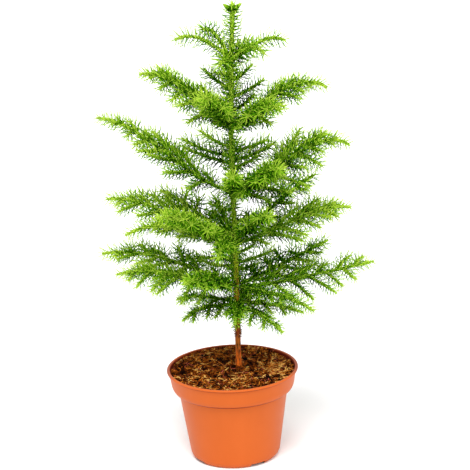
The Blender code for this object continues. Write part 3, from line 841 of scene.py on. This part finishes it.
# %% [markdown]
# ## Side twigs
#
# Each side twig opens from its bough at 55 to 75 degrees, bends forward, and sags a little
# under its own needles; behind the upper whorls it rises instead.  A twig that would reach
# across the middle of the gap to the next bough is made shorter, so the sprays lie beside each
# other and the gaps stay open.

# %% Rules for a side twig
TWIG_FORWARD = 0.18
TWIG_KNOTS = 7
SMALLEST_TWIG = 7 * MM
SHORTENED = 0.93
SPACE_MARGIN = 1.5 * MM
OVERLAP = 2.2
STEEPEST_HALF = radians(80)


def twig_length(limb, share):
    """Side twigs are longest a third of the way out and short at the tip."""
    near_trunk = min(1.0, 0.5 + (share - limb.bare) / 0.25)
    near_tip = min(1.0, (1.0 - share) / limb.tapering)
    return limb.spread * limb.reach * near_trunk * near_tip * (1.10 - 0.75 * share)


def twig_path(height, limb, share, side, length, opening, tilt):
    """Points of a side twig."""
    root = bough_point(height, limb, share)
    ahead = bough_direction(height, limb, share)
    across = UP.cross(ahead).normalized() * side
    path = []
    for out in evenly(0.0, 1.0, TWIG_KNOTS):
        run = length * out
        point = root + across * (run * sin(opening)) + ahead * (run * cos(opening))
        point += ahead * (TWIG_FORWARD * run * out) - UP * ((limb.sag - tilt) * run * out)
        point += UP * (limb.tilt * (point - root).y)
        path.append(point)
    return path


def inside_space(path, limb, halves):
    """Whether a twig stays in the wedge between the neighbouring boughs."""
    tip = path[-1] - trunk_axis(path[-1].z)
    along = Vector((cos(limb.compass), sin(limb.compass), 0.0))
    across = Vector((-along.y, along.x, 0.0))
    sideways = tip.dot(across)
    half = min(STEEPEST_HALF, halves[0] if sideways > 0 else halves[1])
    return abs(sideways) < OVERLAP * tan(half) * tip.dot(along) - SPACE_MARGIN


def fitted_twig(height, limb, share, side, length, opening, tilt, halves):
    """A side twig made shorter until it has room, or nothing if too little is left of it."""
    path = twig_path(height, limb, share, side, length, opening, tilt)
    while length > SMALLEST_TWIG and not inside_space(path, limb, halves):
        length *= SHORTENED
        path = twig_path(height, limb, share, side, length, opening, tilt)
    return path if length > SMALLEST_TWIG else []


def neighbours(whorl, index):
    """Half of the turn to the next bough on either side."""
    count = len(whorl.boughs)
    here = whorl.boughs[index].compass
    after = (whorl.boughs[(index + 1) % count].compass - here) % (2 * pi)
    before = (here - whorl.boughs[index - 1].compass) % (2 * pi)
    return after / 2, before / 2


def facing(compass):
    """How much a bough points to the front, from -1 at the back to 1."""
    return -sin(compass)


print("twig rules ready")

# %% [markdown]
# Every spray, a bough or a twig, has a tone that later picks its greens: 0 is the deepest and 5
# the palest.  The tone is mostly painted light and shade, with the age: the top whorl is the
# palest, the upper whorls are brighter on their lit side and the lower ones darker there, in
# painted shade from the boughs above, and a twig is darker near the trunk, in painted shade,
# and brighter near the tip of its bough.  A short table by whorl and bough adds painted light
# and shade to single boughs.

# %% Tones of the boughs
MIDDLE_TONE = 3.4
TONE_SPREAD = 0.25
TOP_WHORL_TONE = 0.45
LIT_SIDE_TONE = 0.2
MIDDLE_WHORL = 3.5
BRIGHT_SIDE = radians(-18)
# Painted light and shade bough by bough: plus is brighter, minus darker.
BOUGH_LIGHT_AND_SHADE = {
    (1, 2): 0.2, (1, 4): 0.3, (2, 0): 0.1, (2, 1): -0.8, (2, 3): 0.4, (2, 4): 1.2, (2, 5): 0.1,
    (3, 0): 0.9, (3, 1): -0.9, (3, 2): -0.4, (3, 4): 0.6, (3, 5): 0.6, (3, 6): 0.5,
    (4, 0): 0.5, (4, 1): -0.7, (4, 3): 0.55, (5, 0): 0.5, (5, 2): 0.3, (5, 3): 0.4,
    (5, 4): 0.4, (5, 5): 0.3, (6, 0): 0.2, (6, 2): -0.6, (6, 3): 0.2, (6, 5): 0.3,
}


def bough_tone(number, index, limb, chance):
    """A bough's tone, by its whorl, its place in the whorl and its bearing: mostly painted light and
    shade.
    """
    top = TOP_WHORL_TONE * (number == len(WHORLS))
    tone = MIDDLE_TONE + top + chance.uniform(-TONE_SPREAD, TONE_SPREAD)
    # Painted light and shade: upper whorls brighter at their lit front, lower ones darker there.
    tone += LIT_SIDE_TONE * (number - MIDDLE_WHORL) * facing(limb.compass - BRIGHT_SIDE)
    return tone + BOUGH_LIGHT_AND_SHADE.get((number, index), 0.0)


print("boughs with a tone of their own:", len(BOUGH_LIGHT_AND_SHADE))

# %% [markdown]
# The twigs stand in pairs along each bough, with small random shifts of place, length and
# angle.  Two loops and a fixed seed give the same tree each time, which no scattering by hand
# could.  At the back the twigs stand further apart and open wider.

# %% Grow the sprays
FIRST_UPPER_WHORL = 4
FEWEST_PAIRS = 3
BOUGH_KNOTS = 25
BOUGH_RADII = (1.5 * MM, 0.9 * MM)
TWIG_RADII = (1.05 * MM, 0.7 * MM)
TWIG_OPENING = radians(55)
BACK_OPENING = radians(20)
BACK_RISE = 0.25
BACK_GAPS = 0.45
TWIG_SPACING = 16.5 * MM
LOW_SPACING = 2.2 * MM
FIRST_TWIG = 0.05
LAST_TWIG = 0.9
PLACE_SPREAD = 0.12
LENGTH_SPREAD = (0.82, 1.12)
OPENING_SPREAD = 11
TILT_SPREAD = 0.18
TRUNK_SHADE_TONE = 1.5
TWIG_TONE_SPREAD = 0.5

Spray = namedtuple("Spray", "path radii kind whorl tone")
sprays = []
chance = Random(5)
for number, whorl in enumerate(WHORLS, start=1):
    for index, limb in enumerate(whorl.boughs):
        height = whorl_height(whorl, index)
        tone = bough_tone(number, index, limb, chance)
        first = trunk_radius(height) / limb.reach
        stem = [bough_point(height, limb, share) for share in evenly(first, 1.0, BOUGH_KNOTS)]
        sprays.append(Spray(stem, evenly(*BOUGH_RADII, BOUGH_KNOTS), "bough", number, tone))
        if limb.spread == 0:
            continue
        behind = max(0.0, -facing(limb.compass))
        start = max(limb.bare, first + FIRST_TWIG)
        spacing = TWIG_SPACING + LOW_SPACING * max(0, FIRST_UPPER_WHORL - number)
        spacing *= 1.0 + BACK_GAPS * behind
        pairs = max(FEWEST_PAIRS, round((LAST_TWIG - start) * limb.reach / spacing))
        halves = neighbours(whorl, index)
        for pair in range(pairs):
            for side in (-1, 1):
                in_rank = pair + 0.25 * (side + 1) + chance.uniform(-PLACE_SPREAD, PLACE_SPREAD)
                share = start + (LAST_TWIG - start) * in_rank / pairs
                length = twig_length(limb, share) * chance.uniform(*LENGTH_SPREAD)
                opening = TWIG_OPENING + BACK_OPENING * behind
                opening += radians(chance.uniform(-OPENING_SPREAD, OPENING_SPREAD))
                tilt = chance.uniform(-TILT_SPREAD, TILT_SPREAD)
                if number >= FIRST_UPPER_WHORL:
                    tilt += BACK_RISE * behind
                path = fitted_twig(height, limb, share, side, length, opening, tilt, halves)
                if path:
                    # Painted shade: a twig is darker near the trunk and brighter towards the tip of its
                    # bough.
                    twig_tone = tone + TRUNK_SHADE_TONE * (share - 0.5)
                    twig_tone += chance.uniform(-TWIG_TONE_SPREAD, TWIG_TONE_SPREAD)
                    radii = evenly(*TWIG_RADII, TWIG_KNOTS)
                    sprays.append(Spray(path, radii, "twig", number, twig_tone))
print("sprays:", len(sprays))
spray_lengths = [sum((b - a).length for a, b in zip(spray.path, spray.path[1:])) for spray in sprays]
print("twig length in all, m:", round(sum(spray_lengths), 2))

# %% [markdown]
# ## Bark
#
# Trunk, boughs and twigs are round and taper to their ends.  They could be skinned or swept
# with bmesh, but a curve with a bevel does it from a centre line and a radius at each knot.
# The curves are made meshes, and vertices can then be pushed in and out along their normals.

# %% Limbs from curves
SHARP_BARK_EDGE = 70


def limbs_mesh(paths, radii, rounding, name):
    """One mesh of many tapering limbs with closed ends."""
    curve = bpy.data.curves.new(name, "CURVE")
    curve.dimensions = "3D"
    curve.twist_mode = "Z_UP"
    curve.bevel_depth = 1.0
    curve.bevel_resolution = rounding
    curve.use_fill_caps = True
    for path, girths in zip(paths, radii):
        spline = curve.splines.new("POLY")
        spline.points.add(len(path) - 1)
        for knot, point, girth in zip(spline.points, path, girths):
            knot.co = (*point, 1.0)
            knot.radius = girth
    return applied(placed(name, curve), name)


def push_out(mesh, height_at):
    """Move each vertex along its normal by a height worked out from its place."""
    shape = bmesh.new()
    shape.from_mesh(mesh)
    shape.normal_update()
    moves = [(vertex, vertex.normal * height_at(vertex.co)) for vertex in shape.verts]
    for vertex, move in moves:
        vertex.co += move
    soften(shape, SHARP_BARK_EDGE)
    shape.to_mesh(mesh)
    shape.free()


print("limb helpers ready")

# %% [markdown]
# The trunk has long scaly ridges low down, and is roughest where the last dry needle bases
# cling.  A bump alone would leave its outline smooth, and carving each ridge would take days,
# so noise moves the mesh itself.  Noise that is stretched upwards makes the ridges long.

# %% Trunk with its relief
TRUNK_RINGS = 421
TRUNK_ROUNDING = 6
BURIED = 3 * MM
BELOW_TOP = 8 * MM
SCALY_REACH = 150 * MM
STUBS_MIDDLE = 163 * MM
STUBS_REACH = 9 * MM


def trunk_relief(place):
    """Scaly ridges that fade upwards, and are rough again among the dry stubs."""
    low = max(0.0, 1.0 - (place.z - SOIL_TOP) / SCALY_REACH)
    scaly = noise.noise(Vector((place.x * 700, place.y * 700, place.z * 260)))
    fine = noise.noise(Vector((place.x * 1700, place.y * 1700, place.z * 900)))
    old_stubs = max(0.0, 1.0 - abs(place.z - STUBS_MIDDLE) / STUBS_REACH)
    return MM * ((0.12 + 0.30 * low + 0.35 * old_stubs) * scaly + 0.07 * fine)


trunk_heights = evenly(TRUNK_FOOT.z - BURIED, TREE_TOP - BELOW_TOP, TRUNK_RINGS)
trunk_line, trunk_radii = trunk_stretch(trunk_heights)
trunk_mesh = limbs_mesh([trunk_line], [trunk_radii], TRUNK_ROUNDING, "trunk_bark")
push_out(trunk_mesh, trunk_relief)
print("trunk:", len(trunk_mesh.polygons), "faces")

# %% [markdown]
# The colour of the bark tells its age: orange-brown at the foot, red-brown and scaly where the
# last dry needle bases cling, golden brown, then olive, and fresh green above half height.  A
# ramp over the height gives those, and stretched noise breaks them into streaks.

# %% Trunk bark
bark, shader, place = new_material("trunk_bark", roughness=0.7, Specular_IOR_Level=0.15)
streaks = place.stretched((520.0, 520.0, 90.0)).cloud(1.0, 4.0, 0.6)
waver = place.axis(2) + 0.02 * (streaks - 0.5)
years = waver.between(SOIL_TOP - BURIED, TREE_TOP)
age = years.node("ValToRGB", {"stops": [
    (0.0, (0.88, 0.165, 0.010)), (0.05, (0.78, 0.150, 0.010)), (0.068, (0.44, 0.120, 0.012)),
    (0.09, (0.42, 0.110, 0.012)), (0.105, (0.32, 0.055, 0.006)), (0.14, (0.34, 0.080, 0.008)),
    (0.18, (0.56, 0.27, 0.010)), (0.22, (0.56, 0.36, 0.010)), (0.27, (0.42, 0.42, 0.008)),
    (0.34, (0.26, 0.40, 0.008)), (0.52, (0.20, 0.42, 0.005)), (0.70, (0.24, 0.48, 0.004)),
    (1.0, (0.32, 0.58, 0.008)),
]}, {0: years})
dark = streaks.between(0.36, 0.56)
feed(place.tree, shader.inputs["Base Color"], dark.blend((0.06, 0.022, 0.003), age))
add_bump(place, shader, streaks, 0.3 * MM, 0.6)
finish_piece(trunk_mesh, "trunk_with_bark", [bark], ["trunk"])

# %% [markdown]
# Boughs and twigs stay green, and scales and needles hide most of their bark.  So one dark
# green with a fine grain serves them all.  The boughs get low bumps in the mesh, and the side
# twigs, which are too thin to show any, stay plain.

# %% Boughs and twigs
BOUGH_ROUNDING = 2
BUMP_HEIGHT = 0.16 * MM

bough_bark, shader, place = new_material("bough_bark", roughness=0.75, Specular_IOR_Level=0.3)
grain = place.cloud(900.0, 3.0, 0.6)
greens = grain.between(0.35, 0.65).blend((0.022, 0.070, 0.002), (0.075, 0.19, 0.004))
feed(place.tree, shader.inputs["Base Color"], greens)
add_bump(place, shader, grain, 0.15 * MM, 0.5)


def bough_relief(place):
    """Low bumps where needles sit."""
    return BUMP_HEIGHT * noise.noise(place * 900.0)


stems = [spray for spray in sprays if spray.kind == "bough"]
bough_mesh = limbs_mesh([s.path for s in stems], [s.radii for s in stems], BOUGH_ROUNDING, "boughs")
push_out(bough_mesh, bough_relief)
finish_piece(bough_mesh, "boughs_with_bark", [bough_bark],
             [name for name in NODES if name.startswith("bough_")])
twigs = [spray for spray in sprays if spray.kind == "twig"]
twig_mesh = limbs_mesh([s.path for s in twigs], [s.radii for s in twigs], 0, "twigs")
finish_piece(twig_mesh, "side_twigs", [bough_bark])

# %% [markdown]
# ## Needles
#
# A young needle is an awl: three-sided, a little over a millimetre wide at its base, curved
# forward and pointed.  Needles leave the twig one after another in a spiral, each turned by the
# golden angle, which is how the real ones are set and which keeps any two from lining up.  Near
# the tip of a twig they are shorter and lean forward round the bud.  Their broad bases lie along
# the twig and hide its bark, so short scales are set under the needles in the same way.
#
# A kind of leaf is a row of sizes: its spacing and length; its width as a share of its length;
# its angle to the twig, and the same near the twig's tip; how far it curves forward and turns
# up; how much brighter the new growth at the twig's tip is, and with it how much darker painted
# shade makes the spray towards its base; and how much paler, as painted light, the leaf's own
# tip is.

# %% Kinds of leaves
Leaf = namedtuple("Leaf", "spacing length slim opening tip_opening curve rise fresh pale")
NEEDLE = Leaf(0.58 * MM, 17.0 * MM, 0.066, radians(66), radians(46), radians(34), 0.12, 1.8, 0.5)
YOUNG_NEEDLE = Leaf(0.72 * MM, 20.0 * MM, 0.062, radians(72), radians(44), radians(38), 0.15, 1.2, 0.7)
SCALE = Leaf(0.42 * MM, 4.0 * MM, 0.46, radians(33), radians(18), radians(22), 0.0, 1.6, 0.6)
print("needle and scale, mm:", round(NEEDLE.length / MM, 1), round(SCALE.length / MM, 1))

# %% [markdown]
# A leaf could be modelled once and copied, but copies made one by one are slow, and all would
# be alike.  Here numpy works out the place, the heading, the length and the tone of all the
# leaves of a spray at once, each a little different, and the joined prisms take them as they
# are.

# %% Set leaves along a spray
GOLDEN_ANGLE = radians(137.508)
TIP_STRETCH = 11 * MM
TIP_LENGTH = 0.68
LOOK_AHEAD = 0.8 * MM
ROOT_DEPTH = 0.6
TURN_SPREAD = 0.1
LEAN_SPREAD = 0.08
LEAF_LENGTHS = (0.88, 1.06)
LIT_FROM_ABOVE = 0.8
LEAF_TONE_SPREAD = 0.7
DARKER_FOOT = 1.3


def points_along(points, reach, distances):
    """Points of a path at some distances from its start."""
    return np.stack([np.interp(distances, reach, points[:, k]) for k in range(3)], axis=1)


def swung(one, other, angle):
    """Directions between two square ones, by an angle from the first."""
    return one * np.cos(angle)[:, None] + other * np.sin(angle)[:, None]


def set_leaves(leaf, path, radii, tone, rng, start=1.5 * MM):
    """Arrays for a spray: roots, both headings, axis, lengths, widths, and tones at both ends."""
    points = np.array([list(p) for p in path])
    steps = np.linalg.norm(np.diff(points, axis=0), axis=1)
    reach = np.concatenate([[0.0], np.cumsum(steps)])
    total = reach[-1]
    count = max(4, int((total - start) / leaf.spacing))
    s = start + (total - start) * (np.arange(count) + rng.uniform(0.3, 0.7, count)) / count
    ahead = points_along(points, reach, s + LOOK_AHEAD)
    axis = unit(ahead - points_along(points, reach, s - LOOK_AHEAD))
    level = np.where(np.abs(axis[:, 2:3]) > 0.9, [[1.0, 0.0, 0.0]], [[0.0, 0.0, 1.0]])
    side = unit(np.cross(axis, level))
    top = np.cross(side, axis)
    angle = np.arange(count) * GOLDEN_ANGLE + rng.uniform(0, 2 * pi)
    angle = angle + rng.normal(0, TURN_SPREAD, count)
    outward = swung(side, top, angle)
    to_tip = np.clip((total - s) / TIP_STRETCH, 0, 1)
    lean = leaf.tip_opening + (leaf.opening - leaf.tip_opening) * to_tip ** 0.7
    lean = lean + rng.normal(0, LEAN_SPREAD, count)
    first = swung(axis, outward, lean)
    late = lean - leaf.curve + rng.normal(0, LEAN_SPREAD, count)
    second = swung(axis, outward, late) + [0.0, 0.0, leaf.rise]
    girth = np.interp(s, reach, np.array(radii))
    root = points_along(points, reach, s) + outward * (girth * ROOT_DEPTH)[:, None]
    long = leaf.length * (TIP_LENGTH + (1.0 - TIP_LENGTH) * to_tip) * rng.uniform(*LEAF_LENGTHS, count)
    new_growth = np.clip(1.1 - (total - s) / (0.12 * total + 5 * MM), 0, 1)
    # New growth brightens each twig's tip, and painted shade darkens the spray towards its base.
    tones = tone + leaf.fresh * (new_growth + 1.1 * s / total - 0.65)
    tones = tones + LIT_FROM_ABOVE * first[:, 2] + rng.normal(0, LEAF_TONE_SPREAD, count)
    # The leaf's foot is darker, painted shade, and its tip paler, painted light.
    return {"root": root, "first": first, "second": unit(second), "axis": axis, "length": long,
            "width": long * leaf.slim, "foot_tone": tones - DARKER_FOOT,
            "tip_tone": tones + leaf.pale}


print("leaf rule ready")

# %% [markdown]
# Each leaf is two rings of three corners and a point: one ring at its root and one at its bend,
# two thirds of the way out.  The root end takes the darker tone, so that a spray is deep inside
# and bright outside, as light makes a real one.

# %% Mesh of many leaves
BEND_AT = 0.65


def leaves_mesh(fields, name):
    """Build one mesh of all the leaves in some fields."""
    data = {key: np.concatenate([field[key] for field in fields]) for key in fields[0]}
    half = data["width"] / 2
    long = data["length"][:, None]
    bend = data["root"] + data["first"] * (BEND_AT * long)
    tip = bend + data["second"] * ((1.0 - BEND_AT) * long)
    base_ring = triangles_round(data["root"], data["first"], data["axis"], half * 1.15, half)
    bend_heading = unit(data["first"] + data["second"])
    bend_ring = triangles_round(bend, bend_heading, data["axis"], half, half * 0.75)
    rings = np.stack([base_ring, bend_ring], axis=1)
    tones = np.stack([data["foot_tone"], data["tip_tone"]], axis=1)
    finishes = np.clip(np.round(tones), 0, len(NEEDLE_COLOURS) - 1).astype(int)
    return joined_prisms(rings, tip, finishes, name)


print("leaf mesh helper ready")

# %% [markdown]
# Six plain greens are enough, dealt out by spray: the deep greens are mostly painted shade, for
# the sprays at the back and inside, mid green is outside, and the yellow-greens are the soft new
# growth at each tip and painted light on the lit side.  A texture would need every needle
# unwrapped, while a choice of six finishes needs nothing.

# %% Needle colours
NEEDLE_COLOURS = (
    (0.002, 0.014, 0.001), (0.010, 0.066, 0.001), (0.045, 0.188, 0.001),
    (0.132, 0.350, 0.003), (0.305, 0.550, 0.022), (0.490, 0.695, 0.065),
)
needle_paints = [
    new_material(f"needle_green_{index}", colour, 0.6, Specular_IOR_Level=0.02)[0]
    for index, colour in enumerate(NEEDLE_COLOURS)
]
print("greens:", len(NEEDLE_COLOURS))

# %% [markdown]
# The needles of one whorl are one piece, so that no piece is too heavy, and a whorl can be
# looked at alone.  They are a little longer from whorl to whorl, and the youngest whorl has its
# own soft kind.  At the back of the four lower whorls, where less light comes, they are longer
# and further apart.

# %% Needles of the whorls
LOWEST_LENGTH = 13.4 * MM
LONGER_UP = 0.9 * MM
LAST_LOOSE_WHORL = 4
BACK_REACH = 60 * MM
BACK_LOOSER = 0.4
BACK_LONGER = 0.26
SCALE_BRIGHTER = 0.3


def shaded_leaf(leaf, spray):
    """The same kind of leaf, longer and further apart towards the back of the lower whorls."""
    behind = min(1.0, max(0.0, (spray.path[-1].y - TRUNK_FOOT.y) / BACK_REACH))
    if spray.whorl > LAST_LOOSE_WHORL:
        behind = 0.0
    return leaf._replace(spacing=leaf.spacing * (1.0 + BACK_LOOSER * behind),
                         length=leaf.length * (1.0 + BACK_LONGER * behind))


rng = np.random.default_rng(17)
for number in range(1, len(WHORLS) + 1):
    needle = NEEDLE._replace(length=(LOWEST_LENGTH + LONGER_UP * number))
    if number == len(WHORLS):
        needle = YOUNG_NEEDLE
    fields = []
    for spray in sprays:
        if spray.whorl == number:
            shaded = shaded_leaf(needle, spray)
            fields.append(set_leaves(shaded, spray.path, spray.radii, spray.tone, rng))
            scale_tone = spray.tone + SCALE_BRIGHTER
            fields.append(set_leaves(SCALE, spray.path, spray.radii, scale_tone, rng))
    mesh = leaves_mesh(fields, f"needles_whorl_{number}")
    masses = [name for name in NODES if name.startswith(f"foliage_{number}")]
    finish_piece(mesh, f"needles_whorl_{number}", needle_paints, masses)

# %% [markdown]
# ## Needles on the trunk, and the leading shoot
#
# The trunk is green for most of its height and still carries needles of its own.  Low down
# they droop a little, and higher up they point upwards and the green scales of their bases
# cover the bark.  One rule for the whole trunk would make them all alike, so it is cut into
# stretches, each with its own angle, length and tone.  A stretch runs from one height to
# another, counted in steps of 3 mm.

# %% Trunk needles
LOWEST_NEEDLE = 168 * MM
HIGHEST_NEEDLE = TREE_TOP - 2 * MM
NEEDLE_HEIGHTS = 141
SCALES_OUT = 1.25

Stretch = namedtuple("Stretch", "low high opening length tone scale_tone scale_spacing")
STRETCHES = (
    Stretch(0, 12, 112, 10.0, 3.6, 3.2, 0.60), Stretch(12, 22, 112, 10.0, 3.3, 0.0, 0.60),
    Stretch(22, 53, 100, 12.0, 3.5, 3.6, 0.60), Stretch(53, 100, 90, 14.0, 3.4, 4.1, 0.28),
    Stretch(100, 140, 76, 17.5, 4.3, 4.6, 0.28),
)
needle_heights = evenly(LOWEST_NEEDLE, HIGHEST_NEEDLE, NEEDLE_HEIGHTS)
fields = []
for part in STRETCHES:
    line, radii = trunk_stretch(needle_heights[part.low:part.high + 1])
    leaf = NEEDLE._replace(spacing=0.62 * MM, length=part.length * MM, slim=0.10,
                           opening=radians(part.opening), curve=radians(42), rise=0.35, fresh=0.0)
    fields.append(set_leaves(leaf, line, radii, part.tone, rng, 0.0))
    if part.scale_tone:
        leaf = SCALE._replace(spacing=part.scale_spacing * MM, opening=radians(24), fresh=0.0)
        wider = [SCALES_OUT * radius for radius in radii]
        fields.append(set_leaves(leaf, line, wider, part.scale_tone, rng, 0.0))
print("stretches of the trunk:", len(STRETCHES))

# %% [markdown]
# At the very top three plump buds sit round the shoot.  A bud is a short spindle, and it is
# covered by the same rule as a twig, with scales that lie so close that they hide its core.

# %% Buds
BUD_LEAF = SCALE._replace(spacing=0.10 * MM, length=4.6 * MM, slim=0.5, opening=radians(22),
                          tip_opening=radians(5), fresh=1.8)
BUD_RADII = (1.6 * MM, 2.6 * MM, 2.2 * MM, 0.4 * MM)
BUD_ROOT = TREE_TOP - 11 * MM
BUD_TONE = 1.9
BUDS = ((3, 3.2, 2.5), (177, 3.2, 2.5), (265, 0.9, 3.3))
for turn, run, lift in BUDS:
    outward = Vector((cos(radians(turn)), sin(radians(turn)), 0.0))
    ahead = outward * run + UP * lift
    bud = [trunk_axis(BUD_ROOT) + ahead * (MM * step) for step in range(len(BUD_RADII))]
    fields.append(set_leaves(BUD_LEAF, bud, BUD_RADII, BUD_TONE, rng, 0.0))
finish_piece(leaves_mesh(fields, "trunk_needles"), "trunk_needles", needle_paints,
             ["foliage_leader"])

# %% [markdown]
# The lowest needles have dried and broken off, about 5 cm above the mix.  Their stubs are the
# same leaves, short and broad, and stand straight out.  They get dead browns in place of the
# greens, drawn at random, because dry stubs weather unevenly.

# %% Dry stubs
STUB = Leaf(0.22 * MM, 5.0 * MM, 0.26, radians(108), radians(92), radians(30), 0.0, 0.0, 0.0)
LOWEST_STUB = 157 * MM
HIGHEST_STUB = 172 * MM
STUB_HEIGHTS = 13
STUB_SHARES = (0.5, 0.34, 0.16)

stub_line, stub_radii = trunk_stretch(evenly(LOWEST_STUB, HIGHEST_STUB, STUB_HEIGHTS))
stub_field = set_leaves(STUB, stub_line, stub_radii, 0.0, rng, 0.0)
stub_field["tip_tone"] = rng.choice(3, len(stub_field["tip_tone"]), p=STUB_SHARES)
stub_field["foot_tone"] = rng.integers(0, 2, len(stub_field["tip_tone"]))
dry_paints = [new_material("dry_stub_red", (0.070, 0.012, 0.005), 0.8)[0],
              new_material("dry_stub_brown", (0.36, 0.11, 0.02), 0.8)[0],
              new_material("dry_stub_pale", (0.74, 0.50, 0.30), 0.8)[0]]
finish_piece(leaves_mesh([stub_field], "dry_stubs"), "dry_stubs", dry_paints)
